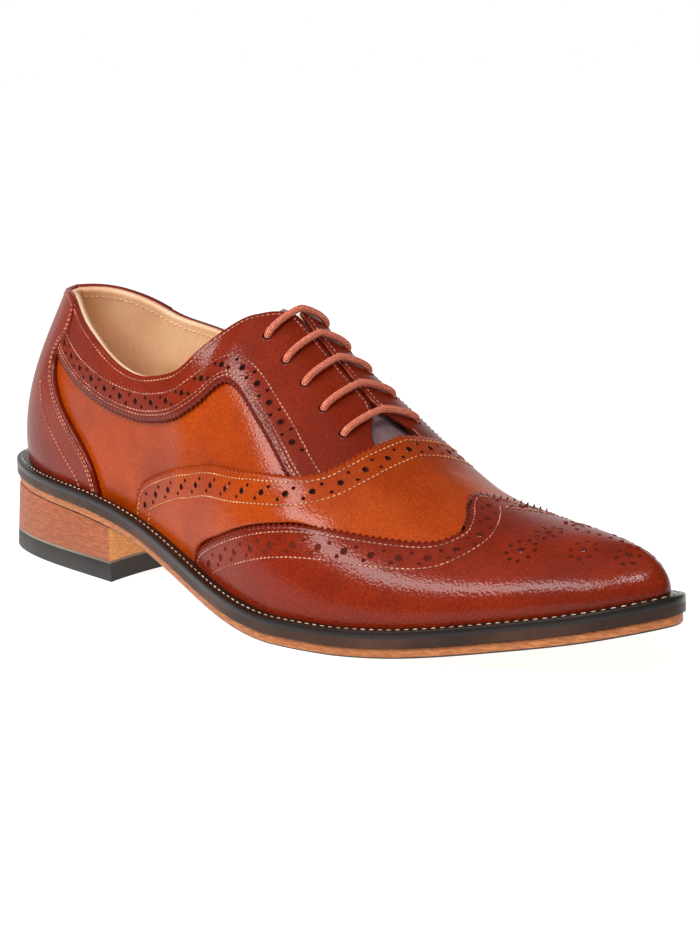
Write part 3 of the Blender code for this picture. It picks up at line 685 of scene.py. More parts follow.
# Hole bottoms: flat dark discs of painted shade standing in for the hollow of a hole, less dark for the pressed
# holes.
PRESSED_HOLE_SHADE = plain_leather("pressed_hole_painted_shade", "62200C", "401206", 0.7, 0.1, 0.5, specular_ior_level=0.1)
PUNCHED_HOLE_SHADE = plain_leather("punched_hole_painted_shade", "2A0C04", "140503", 0.85, 0.1, 0.5, specular_ior_level=0.1)
RUBBER = plain_leather("moulded_black_rubber", "28211C", "17110D", 0.55, 0.30, 1.2)
print("leathers made")

# %% [markdown]
# Sole leather is vegetable-tanned ox hide, cut, sanded and sealed: pale tan with long fibres along its cut
# edge. The heel is a stack of such lifts, glued, turned and stained, so thin level lines run round it.

# %% Sole and heel finishes
FIBRE_MM = 0.5
LIFT_WAVES = 96.154  # scale of the wave texture, a dark line about every 3.3 mm


def fibre_leather(name, colour, dark, roughness, stretch, layers=False, **shader):
    """Cut sole leather: fibres drawn out along the edge by squeezing the pattern's height."""
    made, tree, found = new_material(name, roughness=roughness, **shader)
    where = place_in(tree)
    drawn = add(tree, "ShaderNodeMapping", {"Vector": where, "Scale": (1.0, 1.0, stretch)}).outputs["Vector"]
    fibres = noise(tree, drawn, FIBRE_MM * stretch, 5.0, 0.65)
    tone = toned(tree, linear(dark), colour, fibres, 0.40, 0.64)
    tone = toned(tree, tone, dark, noise(tree, where, 22.0, 3.0), 0.42, 0.72, 0.0, 0.40)
    if layers:
        lifts = add(tree, "ShaderNodeTexWave", {"Vector": where, "Scale": LIFT_WAVES, "Distortion": 1.2,
                                                "Detail": 2.0, "Detail Scale": 0.6}, bands_direction="Z")
        tone = toned(tree, tone, dark, lifts.outputs["Fac"], 0.20, 0.02, 0.0, 0.55)
    dress(tree, found, tone, bumped(tree, fibres, 0.25, 0.2))
    return made


SOLE_EDGE = fibre_leather("ox_hide_sole_edge", "C47C4A", "9C5C36", 0.5, 7.0, specular_ior_level=0.25)
SOLE_UNDER = plain_leather("ox_hide_sole_bottom", "C98D5E", "B07448", 0.50, 0.15, 1.4)
STACKED = fibre_leather("stacked_and_stained_lifts", "B8643A", "8E4A2A", 0.5, 8.0, layers=True,
                        specular_ior_level=0.25)
BREAST_FACE = fibre_leather("bare_heel_breast", "F0AC62", "D08C44", 0.55, 4.0)
PALE_LINE = plain_leather("unstained_lift", "8A7A6A", "6C5D50", 0.55, 0.10, 1.0)

# %% [markdown]
# Thread is twisted and waxed, so each stitch is a small smooth grain that catches the light. Laces are round
# cotton cord, braided over a core and waxed: two sets of strands cross at a slant and leave even bumps.

# %% Thread and cord
STRAND_MM = 1.15
STRAND_TURNS = 5  # how many strands of one set lie side by side round the cord


def thread(name, colour, dark):
    made, tree, found = new_material(name, roughness=0.5, sheen_weight=0.2)
    wear = noise(tree, place_in(tree), 6.0, 2.0)
    tree.links.new(toned(tree, linear(dark), colour, wear, 0.35, 0.65), found.inputs["Base Color"])
    return made


TAN_THREAD = thread("waxed_thread_tan", "F0A058", "C46A24")
BROWN_THREAD = thread("waxed_thread_brown", "DC8A68", "9A4628")
CREAM_THREAD = thread("waxed_thread_cream", "D8C4A4", "A48C6C")


def figured(tree, operation, *values):
    return add(tree, "ShaderNodeMath", dict(enumerate(values)), operation=operation).outputs[0]


def braided_cord():
    made, tree, found = new_material("braided_cotton_cord", roughness=0.6, specular_ior_level=0.3)
    along = add(tree, "ShaderNodeAttribute", attribute_name="along_mm").outputs["Fac"]
    around = add(tree, "ShaderNodeAttribute", attribute_name="around").outputs["Fac"]
    waves = []
    for turn in (1.0, -1.0):
        slant = figured(tree, "MULTIPLY_ADD", around, turn * 2 * math.pi * STRAND_TURNS, 0.0)
        phase = figured(tree, "MULTIPLY_ADD", along, 2 * math.pi / STRAND_MM, slant)
        waves.append(figured(tree, "SINE", phase))
    braid = figured(tree, "MULTIPLY", *waves)
    # The braid's dips between strands are coloured dark as painted shade; the crests keep the cord's own
    # colour.
    tone = toned(tree, linear("A8402A"), "F08A68", braid, -0.6, 0.7)
    tone = toned(tree, tone, "FFC0A4", noise(tree, place_in(tree), 0.6, 2.0), 0.48, 0.72, 0.0, 0.45)
    dress(tree, found, tone, bumped(tree, braid, 0.6, 0.3))
    return made


CORD = braided_cord()
print("threads and cord made")

# %% [markdown]
# The camera stands where the photographer stood, to the outer side and a little above, with a long lens and
# a slight roll. Its place, aim and lens were worked out by matching the shoe's outline in the photo.

# %% Camera
AIM = (162.9, 3.87, 43.11)  # from the heel's back
AZIMUTH, ELEVATION, ROLL = (math.radians(v) for v in (48.0, 10.73, -1.95))
DISTANCE = 782.24
FOCAL_PX = 2431.06
IMAGE_HEIGHT_PX = 933
SENSOR_MM = 36.0


def place_camera():
    back = np.array([math.sin(AZIMUTH) * math.cos(ELEVATION), -math.cos(AZIMUTH) * math.cos(ELEVATION),
                     math.sin(ELEVATION)])
    level = np.array([math.cos(AZIMUTH), math.sin(AZIMUTH), 0.0])
    upright = np.cross(back, level)
    right = math.cos(ROLL) * level + math.sin(ROLL) * upright
    up = -math.sin(ROLL) * level + math.cos(ROLL) * upright
    data = bpy.data.cameras.new("camera")
    data.sensor_fit = "AUTO"
    data.sensor_width = SENSOR_MM
    data.lens = FOCAL_PX * SENSOR_MM / IMAGE_HEIGHT_PX
    data.clip_start = 0.01
    made = bpy.data.objects.new("camera", data)
    spot = to_scene(np.array(AIM) + back * DISTANCE)
    made.matrix_world = Matrix([[right[i], up[i], back[i], spot[i]] for i in range(3)] + [[0, 0, 0, 1]])
    bpy.context.scene.collection.objects.link(made)
    bpy.context.scene.camera = made
    return made


camera = place_camera()
print("lens, mm:", round(camera.data.lens, 1))

# %% [markdown]
# Shoes are shot on a white ground with soft boxes, so that gloss shows as broad pale bands. The bands say
# where the boxes stood: a long one high on the outer side, a small one towards the toe and a broad weak one
# overhead. The tent is dim but for the lit white cloth behind the shoe.

# %% Floor and lights
SCENE_MIDDLE = Vector((0.0, 0.0, 0.03))


def soft_box(name, towards, distance, size, power):
    data = bpy.data.lights.new(name, "AREA")
    data.shape = "RECTANGLE"
    data.size, data.size_y = size
    data.energy = power
    made = bpy.data.objects.new(name, data)
    made.location = SCENE_MIDDLE + Vector(towards).normalized() * distance
    made.rotation_euler = (SCENE_MIDDLE - made.location).to_track_quat("-Z", "Y").to_euler()
    bpy.context.scene.collection.objects.link(made)


BACKDROP_SIDE = (-0.73, 0.66, -0.1)  # where the lit white cloth hangs
TENT_SHADE = 0.25
SOFT_BOXES = (
    # name, direction, distance in metres, size in metres, watts
    ("side box", (-0.14, -0.70, 0.70), 1.1, (1.1, 0.26), 11.0),
    ("toe box", (0.47, -0.45, 0.76), 1.2, (0.30, 0.20), 4.5),
    ("overhead box", (0.05, -0.36, 0.93), 1.6, (2.0, 1.8), 4.0),
)


def make_studio():
    world = bpy.data.worlds.new("white tent")
    world.use_nodes = True
    tree = world.node_tree
    tent = tree.nodes["Background"]
    tent.inputs["Color"].default_value = linear("FFFFFF")
    towards = add(tree, "ShaderNodeTexCoord").outputs["Generated"]
    facing = add(tree, "ShaderNodeVectorMath", {0: towards, 1: BACKDROP_SIDE}, operation="DOT_PRODUCT")
    strength = ramped(tree, facing.outputs["Value"], 0.75, 0.93, TENT_SHADE, 1.0)
    tree.links.new(strength, tent.inputs["Strength"])
    bpy.context.scene.world = world
    for row in SOFT_BOXES:
        soft_box(*row)
    bm = bmesh.new()
    bmesh.ops.create_circle(bm, cap_ends=True, segments=64, radius=6.0)
    mesh = bpy.data.meshes.new("floor")
    bm.to_mesh(mesh)
    bm.free()
    floor = bpy.data.objects.new("floor", mesh)
    bpy.context.scene.collection.objects.link(floor)
    # The paper is lit from below as well, so that it burns out to white and shadows stay faint.
    mesh.materials.append(new_material("white_paper_ground", base_color=linear("A0A0A0"), roughness=0.85,
                                       emission_color=linear("FFFFFF"), emission_strength=0.9)[0])
    bpy.context.scene.view_settings.view_transform = "Standard"


make_studio()
print("studio ready")

# %% [markdown]
# Brogue pieces are cut with a pinking wheel, which leaves saw teeth about 2 mm apart. A panel is therefore a
# sheet of columns that run from its toothed edge to its far edge, four columns to a tooth, and only the first
# point of each column moves out for the tooth. A Solidify modifier gives the leather its thickness.

# %% Panels with pinked edges
PINKING_MM = 2.1
TOOTH_MM = 1.05
COLUMNS_PER_TOOTH = 4
CREST_SPACING = 0.9  # between the columns that have no teeth
FIRST_LEVEL = 0.9
GRID_STEPS = {"wing": 34, "vamp": 26, "facing": 26}


ROWS_BETWEEN = 14  # more rows between two of a pattern's table


def path_between(a, b, side, count=9):
    """Length in space of the straight pattern line from each place a to each place b."""
    u = np.linspace(0, 1, count)[None, :]
    turns = a[:, :1] * (1 - u) + b[:, :1] * u
    climbs = a[:, 1:] * (1 - u) + b[:, 1:] * u
    return np.linalg.norm(np.diff(upper_surface(turns, climbs, side), axis=1), axis=2).sum(1)


def even_columns(edge, far, side, spacing, whole=1):
    """Both ends of the columns, spread evenly along the edge, and how far along each stands."""
    along = run_of(upper_surface(edge[:, 0], edge[:, 1], side))
    count = max(2, int(round(along[-1] / spacing / whole))) * whole
    at = np.linspace(0, along[-1], count + 1)
    return read_at(at, along, edge), read_at(at, along, far), at


def levels_of(length, steps):
    """Distances from the edge: one short step, then steps that grow."""
    first = np.minimum(FIRST_LEVEL, length / 4)[:, None]
    k = np.clip((np.arange(steps + 1) - 1) / (steps - 1), 0, 1)[None, :]**1.15
    levels = first + (length[:, None] - first) * k
    levels[:, 0] = 0
    return levels


def panel_grid(edge, far, side, height, steps, pinked=True, onward=False):
    """A grid of points, its distance from the edge, and the edge's line. Onward counts on from a corner."""
    if pinked:
        edge, far, at = even_columns(edge, far, side, PINKING_MM / COLUMNS_PER_TOOTH, COLUMNS_PER_TOOTH)
    else:
        edge, far, at = even_columns(edge, far, side, CREST_SPACING)
    length = path_between(edge, far, side)
    levels = levels_of(length, steps)
    u = levels / length[:, None]
    turns = edge[:, :1] * (1 - u) + far[:, :1] * u
    climbs = edge[:, 1:] * (1 - u) + far[:, 1:] * u
    grid = raised(turns, climbs, side, height)
    if pinked:
        outward = np.cross(upper_normal(edge[:, 0], edge[:, 1], side), np.gradient(grid[:, 0], axis=0))
        outward = unit(outward * np.sign((outward * (grid[:, 0] - grid[:, 1])).sum()))
        phase = np.arange(len(at)) % COLUMNS_PER_TOOTH
        tooth = TOOTH_MM * (1 - np.abs(phase - COLUMNS_PER_TOOTH / 2) / (COLUMNS_PER_TOOTH / 2))
        reach = np.minimum(1.0, length / 6)  # no teeth where a panel runs out to nothing
        grid[:, 0] += outward * (tooth * reach)[:, None]
    return grid, levels + (at[:, None] if onward else 0), edge


def ends_of(rows):
    """Edge and far places, as turns and climbs, from rows of a far place and an edge place."""
    rows = np.clip(through_rows(rows, ROWS_BETWEEN), 0, 1)
    return [np.stack([turn_of(rows[:, k]), rows[:, k + 1]], 1) for k in (2, 0)]


SEAM_EDGES = {}  # edge lines by piece and side, for the stitching and the holes to follow


def finish_panel(name, grids, distances, material, thickness, nodes):
    made = grids_piece(name, grids, [material, RAW_EDGE], {"edge_mm": distances})
    thicken(made, thickness, inner=1)
    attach(made, "root")
    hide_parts(*nodes)
    print(name, len(made.data.polygons), "faces")
    return made


def make_wing_cap():
    grids, distances = [], []
    for side in SIDES:
        for rows, crest in ((WING_CAP, False), (TOE_CREST, True)):
            grid, distance, line = panel_grid(*ends_of(rows), side, WING_HEIGHT, GRID_STEPS["wing"],
                                              pinked=not crest, onward=crest)
            if not crest:
                SEAM_EDGES["wing", side] = line
            grids.append((grid, side < 0))
            distances.append(distance)
    return finish_panel("wing_cap_leather", grids, distances, BROWN_CALF, WING_THICK, ["wing_cap"])


def make_vamp():
    grids, distances = [], []
    for side in SIDES:
        grid, distance, line = panel_grid(*ends_of(VAMP), side, VAMP_HEIGHT, GRID_STEPS["vamp"])
        SEAM_EDGES["vamp", side] = line
        grids.append((grid, side < 0))
        distances.append(distance)
    return finish_panel("vamp_leather", grids, distances, TAN_CALF, VAMP_THICK, ["vamp"])


SLIT_FROM = 0.458  # share where the topline turns into the slit
SEAM_STRAIGHT = 0.588  # share where the facing's edge bends up under the vamp, and its seams run straight on
SEAM_AIM = 0.560  # share of the earlier place that gives the straight part its direction


def facing_top(turn, side):
    share = share_of(turn)
    slit = np.interp(share, *zip(*FACING_SLIT))
    return np.where(share < SLIT_FROM, opening_climb(turn, side), slit)


def make_facing(side, name):
    rows = through_rows(FACING, ROWS_BETWEEN)
    low = np.stack([turn_of(rows[:, 0]), rows[:, 1]], 1)
    above = turn_of(rows[:, 2])
    high = np.stack([above, facing_top(above, side)], 1)
    grid, distance, line = panel_grid(low, high, side, FACING_HEIGHT, GRID_STEPS["facing"])
    kept = line[line[:, 0] < turn_of(SEAM_STRAIGHT)]
    straight_on = 2 * kept[-1] - line[line[:, 0] < turn_of(SEAM_AIM)][-1]
    SEAM_EDGES["facing", side] = np.vstack([kept, straight_on])
    return finish_panel("facing_leather_" + name, [(grid, side > 0)], [distance], BROWN_CALF, FACING_THICK,
                        ["facing_" + name])


COUNTER_LEVELS, COUNTER_COLUMNS = 110, 30


def make_counter():
    grids, distances = [], []
    climb_at, share_at = zip(*COUNTER)
    for side in SIDES:
        level = np.linspace(0, 1, COUNTER_LEVELS)
        front = turn_of(smooth(climb_at, share_at, level * climb_at[-1]))
        turns = front[:, None] * (1 - np.linspace(0, 1, COUNTER_COLUMNS)**1.1)
        climbs = level[:, None] * opening_climb(turns, side)
        grid = raised(turns, climbs, side, COUNTER_HEIGHT)
        steps = np.linalg.norm(np.diff(grid, axis=1), axis=2)
        distances.append(np.concatenate([np.zeros((len(level), 1)), np.cumsum(steps, axis=1)], 1))
        SEAM_EDGES["counter", side] = np.stack([front, climbs[:, 0]], 1)
        grids.append((grid, side > 0))
    return finish_panel("heel_counter_leather", grids, distances, BROWN_CALF, COUNTER_THICK, ["heel_counter"])


wing_cap = make_wing_cap()
make_vamp()
make_facing(-1, "outer")
make_facing(1, "inner")
make_counter()

# %% [markdown]
# Under the overlays lies the bag upper: the quarters in tan calf outside and one lining inside, sewn together
# at the topline, where the lining is folded over as a pale binding. It is one hollow sheet, 2 mm thick.

# %% Quarters and lining
# share, how far in climb the quarters stay below the facing's edge along the slit
TUCK = ((0.435, 0.0), (0.455, 0.08), (0.590, 0.05), (0.615, 0.10))
FAR_FROM_EDGE = 9.0  # mm, so that no cut edge darkens these pieces
TONGUE_SHARES, TONGUE_LOW = (0.463, 0.672), 0.74  # its ends, and the climb that its sides reach down to
TONGUE_THICK, TONGUE_GAP = 1.8, 0.5


def make_quarters():
    turns = np.concatenate([np.linspace(0, SLIT_END_TURN, 150), np.linspace(SLIT_END_TURN, 1, 70)[1:]])
    grids, distances = [], []
    for side in SIDES:
        tucked = np.interp(share_of(turns), *zip(*TUCK)) * (turns < SLIT_LAST_TURN)
        climbs = (opening_climb(turns, side) - tucked)[:, None] * np.linspace(0, 1, 49)[None, :]
        grid = raised(turns[:, None] + 0 * climbs, climbs, side, QUARTER_HEIGHT)
        grids.append((grid, side > 0))
        distances.append(np.full(climbs.shape, FAR_FROM_EDGE))
    made = grids_piece("quarters_and_lining", grids, [TAN_CALF, LINING, BINDING], {"edge_mm": distances})
    thicken(made, WALL, inner=1, rim=2)
    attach(made, "root")
    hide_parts("upper")
    return made


def make_tongue():
    turns = turn_of(np.linspace(*TONGUE_SHARES, 60))
    height = QUARTER_HEIGHT - WALL - TONGUE_GAP
    grids, distances = [], []
    for side in SIDES:
        climbs = np.linspace(TONGUE_LOW, 1, 18)[None, :] + 0 * turns[:, None]
        grids.append((raised(turns[:, None] + 0 * climbs, climbs, side, height), side > 0))
        distances.append(np.full(climbs.shape, FAR_FROM_EDGE))
    made = grids_piece("tongue_leather", grids, [TONGUE_HIGHLIGHT_CALF, LINING], {"edge_mm": distances})
    thicken(made, TONGUE_THICK, inner=1)
    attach(made, "root")
    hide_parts("tongue")


quarters = make_quarters()
make_tongue()
print("quarters:", len(quarters.data.polygons), "faces")

# %% [markdown]
# The bottom is built up in layers that share the sole's outline. Each is a plate: a side profile carried
# round the outline, then a top and an underside laid across in strips, so that it can bend with arch and toe.

# %% Sole plates
# each profile: inset, share of the thickness
ROUNDED = ((0.45, 0.0), (0.05, 0.16), (0.0, 0.30), (0.0, 0.75), (0.12, 0.92), (0.5, 1.0))
SQUARE = ((0.15, 0.0), (0.0, 0.06), (0.0, 0.94), (0.15, 1.0))
GLUE_LINE = 0.05
INSOLE_INSET, INSOLE_THICK, INSOLE_END_TURN = 4.6, 2.2, 0.9


def plate(name, turns, inset, bottom, top, profile, materials, nodes):
    """A layer of the sole. Materials: its edge, underside, top and, where given, its bottom corner."""
    count, points, faces, slots = len(turns), [], [], []
    for side in SIDES:
        for extra, share in profile:
            xy, _ = outline_point(turns, side, inset + extra)
            z = bottom(xy[:, 0]) * (1 - share) + top(xy[:, 0]) * share
            points.append(np.concatenate([xy, z[:, None]], 1))
    levels = len(profile)
    for k, side in enumerate(SIDES):
        for j in range(levels - 1):
            a = np.arange(count - 1) + (k * levels + j) * count
            quads = np.stack([a, a + 1, a + 1 + count, a + count], 1)
            faces.append(quads if side < 0 else quads[:, ::-1])
            slots += [3 if j == 0 and len(materials) > 3 else 0] * (count - 1)
    for j, slot_at in ((0, 1), (levels - 1, 2)):
        a = np.arange(count - 1) + j * count
        b = a + levels * count
        quads = np.stack([a, b, b + 1, a + 1], 1)
        faces.append(quads if j == 0 else quads[:, ::-1])
        slots += [slot_at] * (count - 1)
    made = mesh_piece(name, np.concatenate(points), np.concatenate(faces), materials, slots, sharp=35)
    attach(made, "root")
    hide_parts(*nodes)
    return made


def outsole_top(x):
    return sole_height(x) + OUTSOLE_THICK


def midsole_bottom(x):
    return outsole_top(x) + GLUE_LINE


def midsole_top(x):
    return sole_height(x) + MIDSOLE_TOP


def insole_bottom(x):
    return midsole_top(x) + SEAT_GAP


plate("outsole_leather_layer", EDGE_TURNS, SOLE_MARGIN, sole_height, outsole_top, ROUNDED,
      [SOLE_EDGE, SOLE_UNDER, SOLE_UNDER, EDGE_DRESSING], ["outsole"])
plate("midsole_layer", EDGE_TURNS, 0.0, midsole_bottom, insole_bottom, SQUARE, [STAINED_EDGE] * 3,
      ["midsole"])


def make_insole():
    turns = np.linspace(0, INSOLE_END_TURN, 160)
    ledge = np.interp(share_of(turns), *zip(*WELT_LEDGE))
    plate("sock_lining", turns, ledge + INSOLE_INSET, insole_bottom,
          lambda x: insole_bottom(x) + INSOLE_THICK, SQUARE, [LINING] * 3, ["insole"])


make_insole()
print("plates laid")

# %% [markdown]
# The welt is a leather strip sewn round the foot of the upper and stitched down to the sole with cream
# thread. It is rounded with a hot iron and dressed black; the midsole under it is stained brown.

# %% Welt
STITCH_INSET = 2.0  # from the welt's outer edge
INNER_GAP = 0.4  # between the welt's inner edge and the upper's foot
WELT_PROFILE = (
    # inset from the outer edge, depth below the welt's top: a rounded corner, then the stitches' channel
    (0.0, WELT_THICK),
    (0.0, 0.6),
    (0.25, 0.12),
    (0.8, 0.0),
    (STITCH_INSET - 0.5, 0.0),
    (STITCH_INSET, 0.18),
    (STITCH_INSET + 0.5, 0.0),
)


def around(count):
    """Turns and sides once round the shoe, heel to toe on the outer side and back on the inner side."""
    turns = np.linspace(0, 1, count)
    return [(t, -1) for t in turns] + [(t, 1) for t in turns[-2:0:-1]]


def make_welt():
    rings = []
    for turn, side in around(241):
        ledge = float(np.interp(share_of(turn), *zip(*WELT_LEDGE)))
        edge = outline_point(turn, side)[0]
        low = float(midsole_top(edge[0])) + 0.1
        closing = ((ledge - INNER_GAP, 0.0), (ledge - INNER_GAP, WELT_THICK))
        rings.append([(*outline_point(turn, side, inset)[0], low + WELT_THICK - depth)
                      for inset, depth in WELT_PROFILE + closing])
    grid = np.array(rings + rings[:1])
    grid = np.concatenate([grid, grid[:, :1]], 1)
    made = grids_piece("welt_strip", [(grid, False)], [EDGE_DRESSING], sharp=35)
    bm = bmesh.new()
    bm.from_mesh(made.data)
    bmesh.ops.recalc_face_normals(bm, faces=bm.faces)
    bm.to_mesh(made.data)
    bm.free()
    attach(made, "root")
    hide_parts("welt")


make_welt()
print("welt laid")

# %% [markdown]
# The heel stands wider at the floor than at the seat, and its front, the breast, is hollowed in plan. A
# closed outline is enough for it, raised between two heights, with one n-sided face below and one above.

# %% Heel
HEEL_TURN = float(turn_of(HEEL_FRONT / SOLE_LENGTH))


def heel_outline(inset):
    """Plan of the heel, counter-clockwise seen from above, and which of its points lie on the breast."""
    turns = np.linspace(0, HEEL_TURN, 70)
    outer = outline_point(turns, -1, inset)[0]
    inner = outline_point(turns, 1, inset)[0]
    half = (inner[-1, 1] - outer[-1, 1]) / 2
    middle = (inner[-1, 1] + outer[-1, 1]) / 2
    ys = np.linspace(-half, half, 25)[1:-1]
    radius = (half**2 + BREAST_HOLLOW**2) / (2 * BREAST_HOLLOW)
    xs = HEEL_FRONT - (np.sqrt(radius**2 - ys**2) - (radius - BREAST_HOLLOW))
    breast = np.stack([xs, ys + middle], 1)
    plan = np.concatenate([outer, breast, inner[::-1][:-1]])
    on_breast = np.zeros(len(plan), bool)
    on_breast[len(outer) - 1:len(outer) + len(breast)] = True
    return plan, on_breast


def heel_lift(name, bottom, top, profile, materials, nodes):
    seat = float(sole_height(0.0))
    rings, first = [], None
    for extra, share in profile:
        plan, on_breast = heel_outline(SOLE_MARGIN + extra)
        x = plan[:, 0]
        z = bottom(x) * (1 - share) + top(x) * share
        lean = -HEEL_FLARE * np.clip(1 - x / HEEL_FRONT, 0, 1) * np.clip(1 - z / seat, 0, 1)
        rings.append(np.stack([x + lean, plan[:, 1], z], 1))
    count = len(rings[0])
    points, faces, slots = np.concatenate(rings), [], []
    for j in range(len(rings) - 1):
        for i in range(count):
            a, b = j * count + i, j * count + (i + 1) % count
            faces.append((a, b, b + count, a + count))
            slots.append(1 if on_breast[i] else 0)
    faces.append(tuple(range(count))[::-1])
    faces.append(tuple(range((len(rings) - 1) * count, len(rings) * count)))
    slots += [2, 2]
    made = mesh_piece(name, points, faces, materials, slots, sharp=35)
    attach(made, "root")
    if nodes:
        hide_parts(*nodes)


PALE_LINE_MM = 0.9
LIFT_OVERLAP = 0.02


def flat_at(height):
    """A flat surface for a lift."""
    return lambda x: np.full(len(x), height)


def make_heel():
    pale_top = TOP_PIECE_THICK + PALE_LINE_MM
    heel_lift("heel_stack", flat_at(pale_top), lambda x: sole_height(x) - GLUE_LINE, SQUARE,
              [STACKED, BREAST_FACE, STACKED], ["heel_block"])
    heel_lift("heel_pale_lift", flat_at(TOP_PIECE_THICK - LIFT_OVERLAP), flat_at(pale_top + LIFT_OVERLAP),
              SQUARE, [PALE_LINE] * 3, [])
    heel_lift("heel_rubber_lift", flat_at(0.0), flat_at(TOP_PIECE_THICK), SQUARE, [RUBBER] * 3,
              ["heel_top_piece"])


make_heel()
print("heel built")

# %% [markdown]
# Seams follow the cut edges at set distances. To walk in from an edge on a curved last, the distance is
# turned into a change of turn and climb with the surface's own slopes, in a few short steps.

# %% Lines at a distance from an edge
SLOPE_STEP = 1.5e-3


def inward_line(line, side, distance, steps=6):
    """The line (turns, climbs) moved over the last, away from the edge's own side, by millimetres."""
    turn, climb = line[:, 0].copy(), line[:, 1].copy()
    for _ in range(steps):
        along = unit(np.gradient(upper_surface(turn, climb, side), axis=0))
        away = np.cross(upper_normal(turn, climb, side), along) * (distance / steps) * side
        ahead, behind = np.clip(turn + SLOPE_STEP, 0, 1), np.clip(turn - SLOPE_STEP, 0, 1)
        du = upper_surface(ahead, climb, side) - upper_surface(behind, climb, side)
        du /= (ahead - behind)[:, None]
        dv = upper_surface(turn, climb + SLOPE_STEP, side) - upper_surface(turn, climb - SLOPE_STEP, side)
        dv /= 2 * SLOPE_STEP
        uu, uv, vv = (du * du).sum(1), (du * dv).sum(1), (dv * dv).sum(1)
        au, av = (away * du).sum(1), (away * dv).sum(1)
        det = uu * vv - uv * uv
        turn = np.clip(turn + (au * vv - av * uv) / det, 0, 1)
        climb = np.clip(climb + (av * uu - au * uv) / det, 0, 1)
    return np.stack([turn, climb], 1)


def surface_line(line, side, height):
    """Points on the finished leather along a line, with the direction out of it at each."""
    points = raised(line[:, 0], line[:, 1], side, height)
    outward = upper_normal(line[:, 0], line[:, 1], side)
    return points, outward


def every(points, outward, pitch, start=0.5):
    """Places along a line one pitch apart, with the directions along it and out of it."""
    along = run_of(points)
    at = np.arange(start * pitch, along[-1], pitch)
    way = read_at(at + 0.3, along, points) - read_at(at - 0.3, along, points)
    return read_at(at, along, points), unit(way), unit(read_at(at, along, outward))


# %% [markdown]
# One stitch is a grain of thread between two needle holes. All the stitches of a colour make one mesh: a
# little spindle of three rings, copied by array arithmetic to every place along every seam.

# %% Stitches
STITCH_PITCH = 1.75
STITCH_RING = 6
STITCH_SUNK = 0.14
# share along the stitch, share of its width, lift in parts of how far its tips are sunk
STITCH_PROFILE = ((-0.5, 0.0, -1.0), (-0.32, 0.8, 0.0), (0.0, 1.0, 0.25), (0.32, 0.8, 0.0), (0.5, 0.0, -1.0))


def spindle(places, ways, outs, length, width):
    """Points and faces of a stitch at each place: two tips in the leather and three rings."""
    over = np.cross(outs, ways)
    angle = np.arange(STITCH_RING) * 2 * math.pi / STITCH_RING
    points = []
    for along, swell, lift in STITCH_PROFILE:
        middle = places + ways * (along * length) + outs * (lift * STITCH_SUNK)
        if swell == 0.0:
            points.append(middle[:, None])
            continue
        points.append(middle[:, None] + over[:, None] * (np.cos(angle) * width / 2 * swell)[None, :, None]
                      + outs[:, None] * (np.sin(angle) * width / 2 * swell * 0.8)[None, :, None])
    points = np.concatenate(points, 1)
    faces, n = [], STITCH_RING
    for k in range(n):
        m = (k + 1) % n
        faces.append((0, 1 + m, 1 + k, 1 + k))
        for ring in (0, 1):
            a = 1 + ring * n
            faces.append((a + k, a + m, a + n + m, a + n + k))
        faces.append((1 + 2 * n + k, 1 + 2 * n + m, 1 + 3 * n, 1 + 3 * n))
    faces = np.array(faces)
    step = points.shape[1]
    faces = faces[None] + (np.arange(len(places)) * step)[:, None, None]
    return points.reshape(-1, 3), faces.reshape(-1, 4)


def tidy_faces(faces):
    """Quads with a doubled corner become triangles."""
    return [tuple(dict.fromkeys(int(i) for i in f)) for f in faces]


def stitches_piece(name, lines, material, length=1.35, width=0.5, pitch=STITCH_PITCH, lift=0.1):
    """lines are (points, outward) pairs on the finished leather."""
    points, faces, start = [], [], 0
    for line, outward in lines:
        if len(line) < 3:
            continue
        places, ways, outs = every(line, outward, pitch)
        p, f = spindle(places + outs * lift, ways, outs, length, width)
        points.append(p)
        faces.append(f + start)
        start += len(p)
    faces = tidy_faces(np.concatenate(faces))
    made = mesh_piece(name, np.concatenate(points), faces, [material], weld=False, sharp=80)
    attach(made, "root")
    print(name, len(made.data.polygons), "faces")


def groove_piece(name, lines, material, width=0.42, lift=0.02):
    """The pressed channel that a seam lies in: a narrow dark ribbon just over the leather, partly the pressed
    leather's own darker colour and partly painted shade of the groove and its needle holes.
    """
    grids = []
    for line, outward in lines:
        over = unit(np.cross(outward, np.gradient(line, axis=0)))
        sides = [line + over * (s * width / 2) + outward * lift for s in (-1, 1)]
        grids.append((np.stack(sides, 1), False))
    made = grids_piece(name, grids, [material], weld=False)
    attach(made, "root")


WING_SEAMS = (1.7, 9.4)  # millimetres in from the cut edge
VAMP_SEAMS = (1.7, 9.0)
FACING_SEAMS = (1.6, 2.9, 8.6)
COUNTER_SEAMS = (1.3, 2.6, 11.0)
TOPLINE_SEAM, LINING_SEAM = 1.5, 3.0
FOOT_CLIMB = 0.004  # seams start just over the welt
TOPLINE_MARGIN = 0.012
CREST_CLIMB = 0.9999


def evened(line, count=260):
    """The same line with its points spread evenly."""
    length = run_of(line)
    return read_at(np.linspace(0, length[-1], count), length, line)


def part_of(piece, side, low, high):
    """A panel's edge, cut to a share of its length."""
    edge = evened(SEAM_EDGES[piece, side])
    return edge[int(low * len(edge)):int(high * len(edge))]


def into_panel(piece, edge, side, distance):
    """Wing cap and vamp lie on one side of their edges as the lines run, counter and facing on the other."""
    return inward_line(edge, side, distance if piece in ("wing", "vamp") else -distance)


